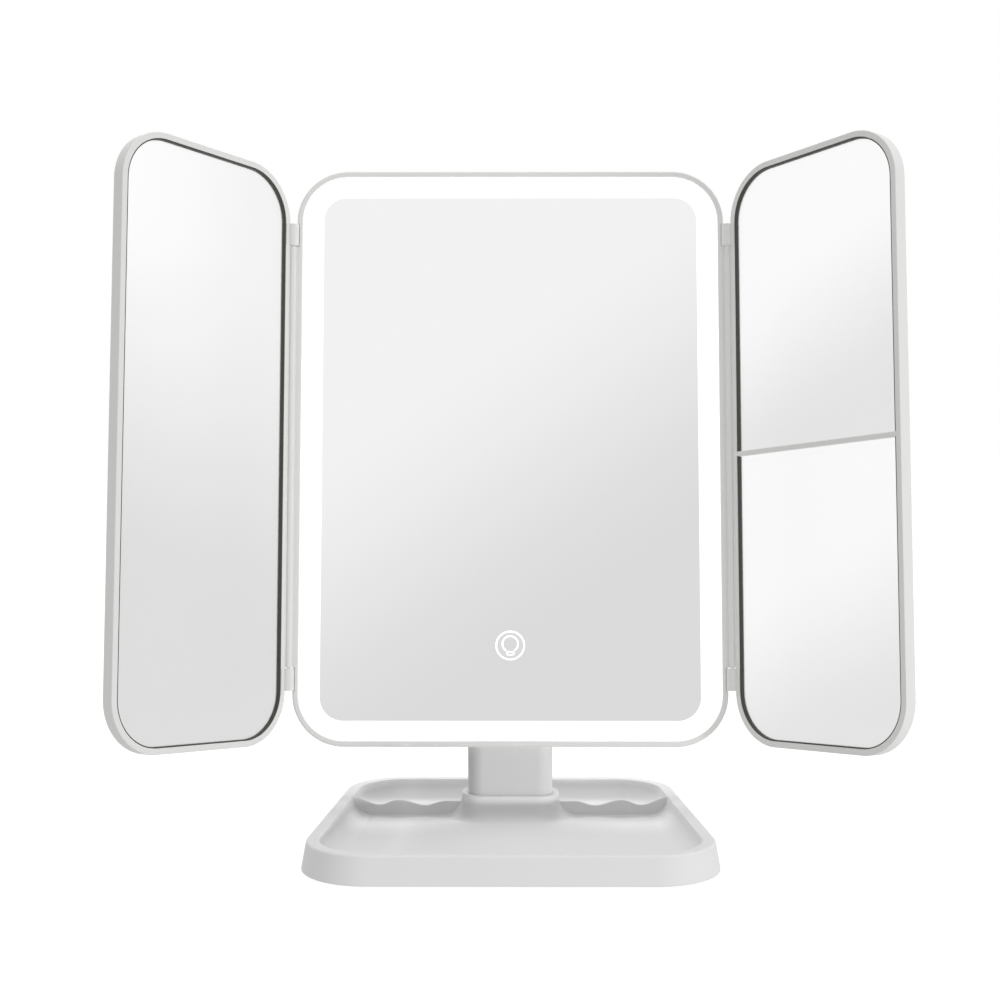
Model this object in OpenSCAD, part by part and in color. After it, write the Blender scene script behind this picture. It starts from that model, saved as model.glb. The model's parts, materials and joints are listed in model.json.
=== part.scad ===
// Lighted three-panel vanity mirror on a weighted organiser tray.
// Millimetres, +Z up, +X to the right of a person facing the mirror, -Y towards that person.
// The origin is on the table under the middle of the tray.

/* [Centre panel] */
// Width of the lit centre panel
panel_w = 184; // [160:1:230]
// Height of the lit centre panel
panel_h = 247; // [200:1:300]
// Outer corner radius of the centre panel and of the wings' free corners
corner_r = 22; // [16:1:30]
// Depth of the centre panel's side wall
frame_depth = 13; // [13:0.5:18]
// Width of the plain rim round the lit band
rim_w = 2.4; // [2:0.1:4]
// Width of the lit band between the rim and the silvering
band_w = 8.9; // [6:0.1:14]
// Thickness of every pane of mirror glass
glass_t = 2; // [1.5:0.1:3]
// How far the centre glass sits behind the rim
glass_recess = 1; // [0.4:0.1:1.6]
// Height of the touch symbol's centre above the panel's lower edge
touch_z = 42.5; // [30:0.5:80]

/* [Wings] */
// Space left between the two wings when both are folded shut
closed_gap = 4; // [1:0.5:12]
// How much shorter than the centre panel each wing is, at each end
wing_inset = 1.5; // [0:0.5:6]
// Depth of a wing from its front rim to its back
wing_depth = 5.8; // [5.4:0.2:8]
// Width of a wing's rim
wing_rim = 2.5; // [2.2:0.1:4]
// How far the wing mirrors sit behind the rim
wing_recess = 1.3; // [0.8:0.1:1.6]
// Width of the bar between the two mirrors of the right wing
bar_w = 2; // [1.6:0.2:5]
// Swing of the left wing towards the viewer, from flat
left_open = 53; // [0:1:175]
// Swing of the right wing towards the viewer, from flat
right_open = 54.5; // [0:0.5:175]

/* [Wing hinges] */
// Distance from the hinge axis to the panel's side and to the wing's edge
hinge_gap = 1.55; // [1.4:0.05:2.5]
// How far the hinge axis stands in front of the panel's front plane
hinge_proud = 0.25; // [0.2:0.05:1]
// Radius of the wings' hinge knuckles
knuckle_r = 2.35; // [2.2:0.05:3]
// Height of a hinge knuckle
knuckle_h = 9.4; // [6:0.2:16]
// Distance of a knuckle's outer end from the end of the panel
knuckle_inset = 23.5; // [22:0.5:60]
// Radius of the hinge pins
pin_r = 0.75; // [0.5:0.05:0.9]
// Length of a hinge pin
pin_len = 17; // [13:1:25]

/* [Stand] */
// Lean of the centre panel, back from upright
head_tilt = 6.2; // [0:0.2:15]
// Height of the centre panel's lower front edge above the table
panel_z = 34.6; // [30:0.2:60]
// Distance of that edge behind the middle of the tray
panel_y = 19; // [0:1:30]
// Width of the oval column
column_w = 36; // [30:1:50]
// Depth of the oval column
column_d = 16; // [14:0.5:20]
// Corner radius of the column's section
column_r = 6.5; // [4:0.5:7]
// Wall of the column
column_wall = 2.2; // [1.6:0.1:3]
// Gap between the panel's front plane and the column's front face
column_gap = 4.5; // [4:0.1:8]
// Height of the tilt bolt above the panel's lower edge, along the panel
pivot_v = 9; // [8.6:0.1:14]
// Distance of the tilt bolt behind the panel's front plane
pivot_d = 15; // [14.6:0.1:17]
// Radius of the tilt bolt
bolt_r = 2; // [1.5:0.1:2.5]
// Width of the tongue that the head tilts on
tongue_w = 16; // [12:1:24]

/* [Tray] */
// Width of the tray's rim, at the front
tray_w = 159; // [140:1:200]
// Depth of the tray's rim, front to back
tray_d = 135; // [120:1:170]
// Angle by which each side of the tray closes in towards the back
tray_taper = 4.5; // [0:0.5:6]
// Corner radius of the tray's rim
tray_r = 25; // [22:1:32]
// Height of the tray's rim above the table
rim_z = 11.8; // [10:0.2:25]
// Width of the tray's flat rim
tray_rim = 4.8; // [4:0.1:8]
// How far the tray's outer wall leans out at its foot
flare = 2; // [0.5:0.1:4]
// Thickness of the tray's floor
floor_t = 1.6; // [1.2:0.1:3]
// Thickness of the steel ballast plate
ballast_t = 1.2; // [0.8:0.1:3]
// Height of the rubber feet below the ballast plate
foot_h = 0.9; // [0.6:0.1:3]
// Radius of a rubber foot
foot_r = 6; // [4:0.5:9]
// Thickness of the divider
divider_t = 1.6; // [1.2:0.1:3]
// Distance of the divider in front of the column's middle
divider_ahead = 2.5; // [0:0.5:6]
// Height of the collar's top above the table
collar_z = 13.3; // [12:0.1:30]
// Wall of the collar round the column
collar_wall = 2.6; // [2:0.1:5]
// How far the collar's foot spreads over the tray's floor
collar_foot = 8.5; // [4:0.5:12]

/* [Power] */
// Radius of a battery cell
cell_r = 5.25; // [5.25:0.01:5.3]
// Length of a battery cell
cell_len = 44.5; // [44:0.1:45]
// Number of battery cells
cells = 4; // [2:1:4]
// Spacing of the light chips along the board
led_pitch = 14; // [9:1:25]

/* [Fits] */
// Play round a piece that drops into another
fit = 0.15; // [0.1:0.05:0.25]
// Radial play of a pin that turns
run_fit = 0.05; // [0.02:0.01:0.09]
// Play round the knuckles and the column, which must never touch
free_fit = 0.35; // [0.3:0.05:0.6]

/* [Hidden] */
$fn = 48;

white = "#e4e4e2";
steel = "#9fa3a6";
eps = 0.05;

// Depth of each layer of the centre panel, measured back from its front plane
diffuser_t = 1.6;
ledge_t = 1;
chip_room = 0.8;
board_t = 1;
carrier_t = 1.4;
glass_back = glass_recess + glass_t;
diffuser_back = glass_back + diffuser_t;
ledge_back = diffuser_back + ledge_t;
board_front = ledge_back + chip_room;
board_back = board_front + board_t;
carrier_back = board_back + carrier_t;
cover_t = 1.6;
cover_front = frame_depth - cover_t;
ledge_w = 1.5;
board_edge = 4.4;
board_w = 6;
chip_edge = board_edge + board_w / 2 - 0.4;
chip_h = 1;

// Screw posts in the centre frame
post_r = 2.6;
post_in = rim_w + 2.2;
post_front = board_back + 0.2;
screw_r = 1;
post_corner = corner_r - (corner_r - post_in) * cos(45);
posts = [for (sx = [-1, 1]) each [
    [sx * (panel_w / 2 - post_corner), post_corner],
    [sx * (panel_w / 2 - post_in), panel_h / 2],
    [sx * (panel_w / 2 - post_corner), panel_h - post_corner],
]];
// Heads of the small screws, and the clearance hole their shanks pass
head_r = 2;
head_t = 1;
screw_pass = screw_r + 0.2;
// A shank fills its hole with this much less radius
shank_r = screw_r - 0.05;

// The raised housing on the back cover, which holds the tilt joint, the board and the cells
box_wall = 1.2;
cell_pitch = 2 * cell_r + 0.9;
cell_d = carrier_back + box_wall + cell_r + 0.25;
box_w = cell_len + 6.5 + 2 * box_wall;
box_h = cells * cell_pitch + 2 * box_wall;
box_z = 43.6;
box_back = cell_d + cell_r + 0.05;
lip_t = 0.6;
door_front = box_back + 0.8;
door_back = door_front + cover_t;
housing_z = 5;
housing_w = box_w + 18.6;
housing_top = box_z + box_h + 3.4;
housing_r = 6;
door_w = box_w + 4;
door_z = box_z + 0.7;
rail_w = 1.5;
ridge_w = 18;
ridge_pitch = 2.4;

// The control board and its socket
board_x = [-housing_w / 2 + 2.5, 6.5];
ctrl_z = [21, 41];
ctrl_front = carrier_back + 3.6;
ctrl_back = ctrl_front + 1.2;
usb = [7, 3.3, 9];
usb_x = -housing_w / 2 - 0.2;
usb_z = 26.5;

// Tilt joint
bracket_t = 1.5;
bracket_w = 32;
bracket_z = [3.4, 30];
washer_t = 0.5;
ear_x = tongue_w / 2 + washer_t + 0.1;
ear_r = 5;
tongue_r = 4;
pivot_y = panel_y + pivot_d * cos(head_tilt) + pivot_v * sin(head_tilt);
pivot_z = panel_z + pivot_v * cos(head_tilt) - pivot_d * sin(head_tilt);
column_y = panel_y + column_gap + column_d / 2;
column_top = pivot_z - pivot_v + 2;
plug_h = 14;
base_solid = 8;

// The touch spring, and the tail of film that reaches it from behind the symbol
spring_x = -2;
spring_z = 37;
film_t = 0.3;
film_r = 9;
tail_w = 8;

// Tray levels
skirt_z = foot_h - 0.1;
ballast_z = foot_h;
under_z = ballast_z + ballast_t + 0.1;
floor_z = under_z + floor_t;
seat_z = floor_z - 0.4;
divider_y = column_y - divider_ahead;
skirt_t = 1.8;
edge = 0.8;
boss_in = 3.2;
boss_r = 2.4;
floor_step = 0.3;

// Corner centres of the tray, from which every outline of it is an even offset
function tidy(x) = round(x * 1000) / 1000;
front_cy = tidy(-tray_d / 2 + tray_r);
back_cy = -front_cy;
front_cx = tidy(tray_w / 2 - tray_r * tan(tray_taper) - tray_r / cos(tray_taper));
back_cx = tidy(front_cx - (back_cy - front_cy) * tan(tray_taper));
// The taper between those centres, so that neighbouring stretches of wall meet exactly
side_angle = atan2(front_cx - back_cx, back_cy - front_cy);

// Where the four ballast screws stand
ballast_spots = [for (s = [-1, 1], p = [[front_cx, front_cy, -45], [back_cx, back_cy, 45]])
    [s * (p[0] + (tray_r - boss_in) * cos(p[2])), p[1] + (tray_r - boss_in) * sin(p[2])]];

// Wing sizes
wing_w = (panel_w - closed_gap) / 2;
wing_h = panel_h - 2 * wing_inset;
wing_glass_back = wing_recess + glass_t;
wing_cover_t = 1.6;
gasket_t = 0.45;

// ---- outlines ----

module rounded(w, h, r) {
    square([w - 2 * r, h], center = true);
    square([w, h - 2 * r], center = true);
    for (sx = [-1, 1], sy = [-1, 1])
        translate([sx * (w / 2 - r), sy * (h / 2 - r)]) circle(r);
}

// An upright plate, its lower edge at z, from depth d0 to depth d1
module plate(w, h, r, d0, d1, z = 0) {
    translate([0, d1, z + h / 2]) rotate([90, 0, 0]) linear_extrude(d1 - d0) rounded(w, h, r);
}

// The centre panel's outline drawn in by a margin
module panel_plate(inset, d0, d1) {
    plate(panel_w - 2 * inset, panel_h - 2 * inset, corner_r - inset, d0, d1, inset);
}

module panel_ring(outer, inner, d0, d1) {
    difference() {
        panel_plate(outer, d0, d1);
        panel_plate(inner, d0 - eps, d1 + eps);
    }
}

// A round rod along the depth direction
module depth_rod(x, z, r, d0, d1) {
    translate([x, d0, z]) rotate([-90, 0, 0]) cylinder(r = r, h = d1 - d0);
}

// A box given by its lowest and highest corners
module block(a, b) {
    translate(a) cube([b[0] - a[0], b[1] - a[1], b[2] - a[2]]);
}

// A length of wall whose section stands across the way it runs, starting along +Y
module straight_wall(length) {
    rotate([90, 0, 0]) mirror([0, 0, 1]) linear_extrude(length) children();
}

// A section swept level round a rounded rectangle of size w by d; x is the distance out from its edge
module sweep_rounded(w, d, r) {
    for (k = [0:3]) {
        along = k % 2 == 0 ? w : d;
        out = k % 2 == 0 ? d : w;
        rotate([0, 0, 90 * k]) {
            translate([along / 2 - r, -out / 2 + r, 0])
                rotate([0, 0, -90]) rotate_extrude(angle = 90) translate([r, 0]) children();
            translate([-along / 2 + r, -out / 2 + r, 0]) rotate([0, 0, -90])
                straight_wall(along - 2 * r) translate([r, 0]) children();
        }
    }
}

// The tray's outline, moved out by a margin
module tray_outline(out) {
    r = tray_r + out;
    n = [cos(side_angle), sin(side_angle)];
    right = [
        [front_cx, front_cy - r],
        [front_cx, front_cy] + r * n,
        [back_cx, back_cy] + r * n,
        [back_cx, back_cy + r],
    ];
    polygon(concat(right, [for (i = [3:-1:0]) [-right[i][0], right[i][1]]]));
    for (s = [-1, 1]) {
        translate([s * front_cx, front_cy]) circle(r);
        translate([s * back_cx, back_cy]) circle(r);
    }
}

// A wall section swept round the tray; x is the distance from the corner centres.
// Every bend is two arcs that overlap, one grown from each of the straight walls it joins,
// each stretch hangs on the one before it, and the right half is mirrored.
module sweep_tray() {
    side = norm([front_cx - back_cx, back_cy - front_cy]);
    past_middle = 5;
    arc = 55;
    for (s = [0, 1]) mirror([s, 0, 0]) intersection() {
        translate([front_cx, front_cy, 0]) {
            rotate([0, 0, -90]) {
                translate([0, -front_cx - past_middle, 0])
                    straight_wall(front_cx + past_middle) children();
                rotate_extrude(angle = arc) children();
            }
            rotate([0, 0, side_angle]) {
                mirror([0, 1, 0]) rotate_extrude(angle = arc) children();
                straight_wall(side) children();
                translate([0, side, 0]) {
                    rotate_extrude(angle = arc) children();
                    rotate([0, 0, 90 - side_angle]) {
                        mirror([0, 1, 0]) rotate_extrude(angle = arc) children();
                        straight_wall(back_cx + past_middle) children();
                    }
                }
            }
        }
        translate([0, -tray_d, -1]) cube([tray_w, 2 * tray_d, rim_z + 2]);
    }
}

// The flat middle of the floor, whose edge lies under the foot of the wall all round
module floor_outline() {
    r = tray_r - tray_rim - 4;
    right = [for (p = [[front_cx, front_cy, -1], [back_cx, back_cy, 1]], a = [67.5, 22.5])
        let (turn = p[2] < 0 ? -a : 90 - a)
            [p[0] + r * cos(turn), p[1] + r * sin(turn)]];
    polygon(concat(right, [for (i = [3:-1:0]) [-right[i][0], right[i][1]]]));
}

// ---- frames of the moving groups ----

module in_head() {
    translate([0, panel_y, panel_z]) rotate([-head_tilt, 0, 0]) children();
}

// The wing frame has the hinge axis at x = 0 and y = 0 and the wing's front face at y = hinge_proud
module in_wing(side, open) {
    in_head() mirror([side < 0 ? 1 : 0, 0, 0])
        translate([panel_w / 2 + hinge_gap, -hinge_proud, 0]) rotate([0, 0, -open]) children();
}

// A wing's outline drawn in by a margin, at depths measured from its front face
module wing_plate(inset, d0, d1) {
    translate([hinge_gap + wing_w / 2, hinge_proud, wing_inset])
        plate(wing_w - 2 * inset, wing_h - 2 * inset, corner_r - inset, d0, d1, inset);
}

// ---- tray and stand ----

module tray_wall_section() {
    r = tray_r;
    inner = r - tray_rim;
    polygon([
        [r + flare, skirt_z],
        [r, rim_z - edge],
        [r - edge, rim_z],
        [inner, rim_z],
        [inner - 0.5, rim_z - 0.6],
        [inner - 1.8, floor_z + (rim_z - floor_z) * 0.42],
        [inner - 4.4, floor_z + (rim_z - floor_z) * 0.12],
        [inner - 9.5, floor_z - 0.15],
        [inner - 9.5, under_z],
        [inner + 0.7, under_z],
        [inner + 0.7, rim_z - 2],
        [r - 1.9, rim_z - 2],
        [r + flare - skirt_t, skirt_z],
    ]);
}

// Half-width of the dish at the rim's inner edge, along the divider
divider_end = front_cx - (divider_y - front_cy) * tan(side_angle)
    + (tray_r - tray_rim + 0.25) / cos(side_angle);
wave_start = column_w / 2 + collar_wall + fit + 7;
wave_low = floor_z + (rim_z - floor_z) * 0.5;
wave_high = floor_z + (rim_z - floor_z) * 0.8;
wave_flat = floor_z + (rim_z - floor_z) * 0.73;
wave_keys = [
    [0, wave_flat], [0.21, wave_low], [0.5, wave_high], [0.71, wave_low + 0.3], [1, rim_z - 0.3],
];
wave_steps = 5;

// The wavy top of the divider, from the collar out to the side wall
function wave() = [
    for (k = [0:len(wave_keys) - 2], i = [0:wave_steps - 1])
        let (a = wave_keys[k], b = wave_keys[k + 1], t = i / wave_steps)
            [wave_start + (divider_end - wave_start) * (a[0] + (b[0] - a[0]) * t),
             a[1] + (b[1] - a[1]) * (1 - cos(180 * t)) / 2],
];

module divider() {
    outline = concat(
        [[column_w / 2 + fit + 1, under_z + 0.4], [column_w / 2 + fit + 1, wave_flat]],
        wave(),
        [[divider_end, rim_z - 0.3], [divider_end, floor_z + (rim_z - floor_z) * 0.5],
         [divider_end - 6, under_z + 0.4]]
    );
    for (s = [0, 1]) mirror([s, 0, 0])
        translate([0, divider_y + divider_t / 2, 0]) rotate([90, 0, 0])
            linear_extrude(divider_t) polygon(outline);
}

module collar_section() {
    h = collar_z - floor_z;
    polygon([
        [-collar_wall - 1, floor_z - 0.6], [-collar_wall - 1, collar_z], [0, collar_z],
        [0.3, floor_z + h * 0.72], [1.4, floor_z + h * 0.42],
        [3.6, floor_z + h * 0.16], [collar_foot, floor_z - 0.1], [collar_foot, floor_z - 0.6],
    ]);
}

module column_outline(out = 0) {
    rounded(column_w + 2 * out, column_d + 2 * out, column_r + out);
}

bolt_x = 10;
bolt_shank = 1.5;
bolt_head = 3.4;
sunk_r = 2.2;

module tray_shell() color(white) {
    collar_out = collar_wall + fit;
    difference() {
        union() {
            sweep_tray() tray_wall_section();
            translate([0, 0, under_z + floor_step])
                linear_extrude(floor_t - floor_step) floor_outline();
            for (p = ballast_spots)
                translate([p[0], p[1], under_z]) cylinder(r = boss_r, h = rim_z - under_z - 1.5);
            divider();
            translate([0, column_y, 0])
                sweep_rounded(column_w + 2 * collar_out, column_d + 2 * collar_out,
                              column_r + collar_out) collar_section();
        }
        translate([0, column_y, seat_z]) linear_extrude(collar_z) column_outline(fit);
        for (s = [-1, 1])
            translate([s * bolt_x, column_y, 0]) cylinder(r = bolt_shank + 0.2, h = 20);
        for (p = ballast_spots) translate([p[0], p[1], 0]) cylinder(r = screw_r, h = rim_z - 3.4);
    }
}

module ballast_plate() color(steel) difference() {
    translate([0, 0, ballast_z]) linear_extrude(ballast_t) tray_outline(-0.4);
    for (s = [-1, 1])
        translate([s * bolt_x, column_y, 0]) cylinder(r = bolt_head + 0.6, h = 10);
    for (p = ballast_spots)
        translate([p[0], p[1], ballast_z - eps])
            cylinder(r1 = sunk_r + 0.1, r2 = screw_r + 0.1, h = ballast_t + 2 * eps);
}

module rubber_feet() color("#3c3c3c")
    for (s = [-1, 1], p = [[front_cx, front_cy], [back_cx, back_cy]])
        translate([s * p[0], p[1], 0]) cylinder(r = foot_r, h = foot_h);

module ballast_screws() color(steel)
    for (p = ballast_spots) translate([p[0], p[1], ballast_z]) {
        cylinder(r1 = sunk_r, r2 = shank_r, h = ballast_t);
        cylinder(r = shank_r, h = rim_z - 3.8 - ballast_z);
    }

module column_shell() color(white) difference() {
    translate([0, column_y, seat_z]) linear_extrude(column_top - seat_z) column_outline();
    translate([0, column_y, seat_z + base_solid]) linear_extrude(column_top)
        column_outline(-column_wall);
    for (s = [-1, 1]) {
        translate([s * bolt_x, column_y, 0]) cylinder(r = bolt_shank, h = 40);
        translate([s * bolt_x, column_y, column_top - plug_h / 2]) rotate([-90, 0, 0])
            cylinder(r = screw_pass, h = column_d);
    }
}

module column_bolts() color(steel)
    for (s = [-1, 1]) translate([s * bolt_x, column_y, 0]) {
        translate([0, 0, foot_h]) cylinder(r = bolt_head, h = under_z - foot_h);
        translate([0, 0, foot_h]) cylinder(r = bolt_shank - 0.05, h = floor_z + 6.5 - foot_h);
    }

module tilt_tongue() color("#8d8f90") difference() {
    union() {
        translate([0, column_y, column_top - plug_h]) linear_extrude(plug_h)
            column_outline(-column_wall - 0.1);
        block([-tongue_w / 2, pivot_y - tongue_r, column_top - 1],
              [tongue_w / 2, column_y + column_d / 2 - column_wall - 0.1, column_top + 1]);
        block([-tongue_w / 2, pivot_y - tongue_r, column_top + 0.3],
              [tongue_w / 2, pivot_y + tongue_r, pivot_z]);
        translate([-tongue_w / 2, pivot_y, pivot_z]) rotate([0, 90, 0])
            cylinder(r = tongue_r, h = tongue_w);
    }
    translate([-tongue_w, pivot_y, pivot_z]) rotate([0, 90, 0])
        cylinder(r = bolt_r + run_fit, h = 2 * tongue_w);
    for (s = [-1, 1])
        translate([s * bolt_x, column_y, column_top - plug_h / 2]) rotate([-90, 0, 0])
            cylinder(r = screw_r, h = column_d);
}

module neck_screws() color(steel)
    for (s = [-1, 1])
        translate([s * bolt_x, column_y + 1, column_top - plug_h / 2]) rotate([-90, 0, 0]) {
            cylinder(r = shank_r, h = column_d / 2);
            translate([0, 0, column_d / 2 - 1]) cylinder(r = head_r, h = head_t + 0.1);
        }

// ---- centre panel ----

// Where the wings' knuckles sit, as pairs of lower and upper end along the panel
knuckles = [
    [knuckle_inset, knuckle_inset + knuckle_h],
    [panel_h - knuckle_inset - knuckle_h, panel_h - knuckle_inset],
];

module centre_frame() color(white) in_head() {
    slot = column_w / 2 + 1;
    axis_x = panel_w / 2 + hinge_gap;
    barrel_z0 = knuckles[0][1] + free_fit;
    barrel_z1 = knuckles[1][0] - free_fit;
    barrel_r = hinge_gap - 0.3;
    difference() {
        union() {
            panel_ring(0, rim_w, 0, frame_depth);
            panel_ring(rim_w - 0.5, rim_w + ledge_w, diffuser_back, ledge_back);
            for (p = posts) depth_rod(p[0], p[1], post_r, post_front, cover_front);
            for (s = [0, 1]) mirror([s, 0, 0]) {
                block([panel_w / 2 - 0.6, 0.001, barrel_z0], [axis_x, 1.1, barrel_z1]);
                translate([axis_x, -hinge_proud, barrel_z0])
                    cylinder(r = barrel_r, h = barrel_z1 - barrel_z0);
            }
        }
        for (s = [0, 1]) mirror([s, 0, 0]) {
            for (k = knuckles) {
                middle = (k[0] + k[1]) / 2;
                translate([axis_x, -hinge_proud, k[0] - free_fit])
                    cylinder(r = knuckle_r + free_fit, h = knuckle_h + 2 * free_fit);
                translate([axis_x, -hinge_proud, middle - pin_len / 2])
                    cylinder(r = pin_r, h = pin_len);
            }
        }
        for (p = posts) depth_rod(p[0], p[1], screw_r, post_front + 0.8, frame_depth);
        block([-slot, 2.1, -1], [slot, frame_depth + 1, rim_w + 0.1]);
    }
}

module centre_mirror_glass() color("#dfe3e5") in_head()
    panel_plate(rim_w + fit, glass_recess, glass_back);

module light_diffuser() color("#ffffff") in_head()
    panel_ring(rim_w + fit, rim_w + band_w + 0.6, glass_back, diffuser_back);

module led_board() color("#f0f0ea") in_head()
    panel_ring(board_edge, board_edge + board_w, board_front, board_back);

module led_chips() color("#f2e27a") in_head() {
    chip = [3.5, chip_h, 2.8];
    run_x = panel_w - 2 * corner_r;
    run_z = panel_h - 2 * corner_r;
    nx = floor(run_x / led_pitch);
    nz = floor(run_z / led_pitch);
    for (i = [0:nx], z = [chip_edge, panel_h - chip_edge])
        translate([(i - nx / 2) * led_pitch, board_front - chip_h / 2, z]) cube(chip, center = true);
    for (i = [0:nz], s = [-1, 1])
        translate([s * (panel_w / 2 - chip_edge), board_front - chip_h / 2,
                   panel_h / 2 + (i - nz / 2) * led_pitch])
            cube([chip[2], chip[1], chip[0]], center = true);
}

bracket_holes = [for (s = [-1, 1], z = [15.5, 26]) [s * 12, z]];
lead_x = -20;
lead_z = 8;

module carrier_plate() color("#ececec") in_head() difference() {
    union() {
        panel_plate(rim_w + 2 * fit, board_back, carrier_back);
        for (p = bracket_holes) depth_rod(p[0], p[1], 3.2, diffuser_back + 0.4, board_back + 0.1);
        for (x = [board_x[0] + 4, board_x[1] - 4])
            depth_rod(x, ctrl_z[1] - 3, 2, carrier_back - 0.1, ctrl_front);
    }
    for (p = posts) depth_rod(p[0], p[1], post_r + fit, 0, frame_depth);
    for (p = bracket_holes) depth_rod(p[0], p[1], screw_r, diffuser_back + 1, frame_depth);
    depth_rod(lead_x, lead_z, 1.4, 0, frame_depth);
    depth_rod(spring_x, spring_z, 2, 0, frame_depth);
}

module foam_strips() color("#5a5a5a") in_head()
    for (s = [-1, 1])
        block([s * panel_w / 4 - 6, glass_back, panel_h / 5],
              [s * panel_w / 4 + 6, board_back, panel_h * 0.85]);

module touch_film() color("#b8792f") in_head() {
    depth_rod(0, touch_z, film_r, glass_back, glass_back + film_t);
    block([spring_x - tail_w / 2, glass_back, min(touch_z, spring_z - tail_w / 2)],
          [spring_x + tail_w / 2, glass_back + film_t, max(touch_z, spring_z + tail_w / 2)]);
}

module touch_spring() color(steel) in_head()
    depth_rod(spring_x, spring_z, 1.4, glass_back + film_t, ctrl_front);

module control_board() color("#2d6b45") in_head() {
    block([board_x[0], ctrl_front, ctrl_z[0]], [board_x[1], ctrl_back, ctrl_z[1]]);
    block([-20, ctrl_back - eps, 30], [-12, ctrl_back + 1.4, 36]);
    block([-7, ctrl_back - eps, 24], [-3, ctrl_back + 1, 30]);
    depth_rod(1.5, 34, 2.4, ctrl_back - eps, ctrl_back + 4);
}

module usb_socket() color(steel) in_head() difference() {
    block([usb_x, ctrl_back, usb_z], [usb_x + usb[0], ctrl_back + usb[1], usb_z + usb[2]]);
    block([usb_x - 1, ctrl_back + 0.35, usb_z + 0.35],
          [usb_x + usb[0] - 1.2, ctrl_back + usb[1] - 0.35, usb_z + usb[2] - 0.35]);
}

module battery_box() color("#d0d0d0") in_head() difference() {
    block([-box_w / 2, carrier_back, box_z], [box_w / 2, box_back, box_z + box_h]);
    block([-box_w / 2 + box_wall, carrier_back + box_wall, box_z + box_wall],
          [box_w / 2 - box_wall, box_back + 1, box_z + box_h - box_wall]);
}

module battery_contacts() color(steel) in_head()
    for (i = [0:cells - 1]) {
        z = box_z + box_wall + (i + 0.5) * cell_pitch;
        flip = i % 2 == 0 ? 1 : -1;
        wall = box_w / 2 - box_wall;
        block([flip > 0 ? wall - 0.4 : -wall, cell_d - 4, z - 4],
              [flip > 0 ? wall : -wall + 0.4, cell_d + 4, z + 4]);
        translate([-flip * wall, cell_d, z]) rotate([0, flip * 90, 0])
            cylinder(r1 = 3.6, r2 = 2, h = wall - cell_len / 2 - 0.9);
    }

module battery_cells() color("#4a4d52") in_head()
    for (i = [0:cells - 1]) {
        z = box_z + box_wall + (i + 0.5) * cell_pitch;
        flip = i % 2 == 0 ? 1 : -1;
        translate([-flip * (cell_len / 2 + 0.6), cell_d, z]) rotate([0, flip * 90, 0]) {
            cylinder(r = cell_r, h = cell_len - 1);
            cylinder(r = 1.9, h = cell_len + 0.2);
        }
    }

module lead(points, r = 0.6) {
    for (i = [0:len(points) - 2]) {
        a = points[i];
        b = points[i + 1];
        d = b - a;
        translate(a) rotate([0, acos(d[2] / norm(d)), atan2(d[1], d[0])])
            cylinder(r = r, h = norm(d), $fn = 16);
        translate(b) sphere(r, $fn = 16);
    }
}

module wiring_leads() color("#b33a32") in_head() {
    back = carrier_back + 1.6;
    lead([[lead_x, board_back, lead_z], [lead_x, back, lead_z],
          [lead_x, back, 24], [lead_x, ctrl_front - 0.6, 24]]);
    for (x = [-24, -10])
        lead([[x, ctrl_front - 0.7, box_z - 0.6], [x, ctrl_front - 0.7, ctrl_z[1] - 4]]);
}

module back_cover() color(white) in_head() {
    slot = column_w / 2 + 1;
    top_z = housing_top - housing_z;
    difference() {
        union() {
            panel_plate(rim_w + 2 * fit, cover_front, frame_depth);
            plate(housing_w, top_z, housing_r, cover_front, door_back, housing_z);
        }
        plate(housing_w - 2 * cover_t, top_z - 2 * cover_t, housing_r - cover_t,
              cover_front - 1, door_front, housing_z + cover_t);
        block([-door_w / 2 - fit, door_front - 1, door_z - fit],
              [door_w / 2 + fit, door_back + 1, housing_top + 1]);
        block([-door_w / 2 - rail_w - fit, door_front - lip_t - 0.2, housing_top - 2 * cover_t],
              [door_w / 2 + rail_w + fit, door_front, housing_top + 1]);
        block([-slot, cover_front - 1, -1], [slot, door_back + 1, housing_z + cover_t + eps]);
        block([usb_x - 1, ctrl_back - 0.3, usb_z - 0.3],
              [usb_x + 3, ctrl_back + usb[1] + 0.3, usb_z + usb[2] + 0.3]);
        for (p = posts) {
            depth_rod(p[0], p[1], screw_pass, cover_front - 1, frame_depth + 1);
            depth_rod(p[0], p[1], head_r + 0.2, frame_depth - 0.8, frame_depth + 1);
        }
    }
}

module cover_screws() color(steel) in_head()
    for (p = posts) {
        depth_rod(p[0], p[1], shank_r, post_front + 1, frame_depth - 0.3);
        depth_rod(p[0], p[1], head_r, frame_depth - 0.8, frame_depth - 0.8 + head_t);
    }

module battery_door() color(white) in_head() {
    block([-door_w / 2, door_front + 0.05, door_z], [door_w / 2, door_back, housing_top]);
    rail_top = housing_top - 2 * cover_t - 1;
    for (s = [0, 1]) mirror([s, 0, 0]) {
        block([door_w / 2 - 2.2, door_front - lip_t - 0.1, door_z],
              [door_w / 2 + rail_w, door_front - 0.1, rail_top]);
        block([door_w / 2 - 2.2, door_front - 0.2, door_z],
              [door_w / 2 - 0.2, door_front + 0.1, rail_top]);
    }
    for (i = [0:3])
        block([-ridge_w / 2, door_back - eps, housing_top - 10 - i * ridge_pitch],
              [ridge_w / 2, door_back + 0.5, housing_top - 9 - i * ridge_pitch]);
}

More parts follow.
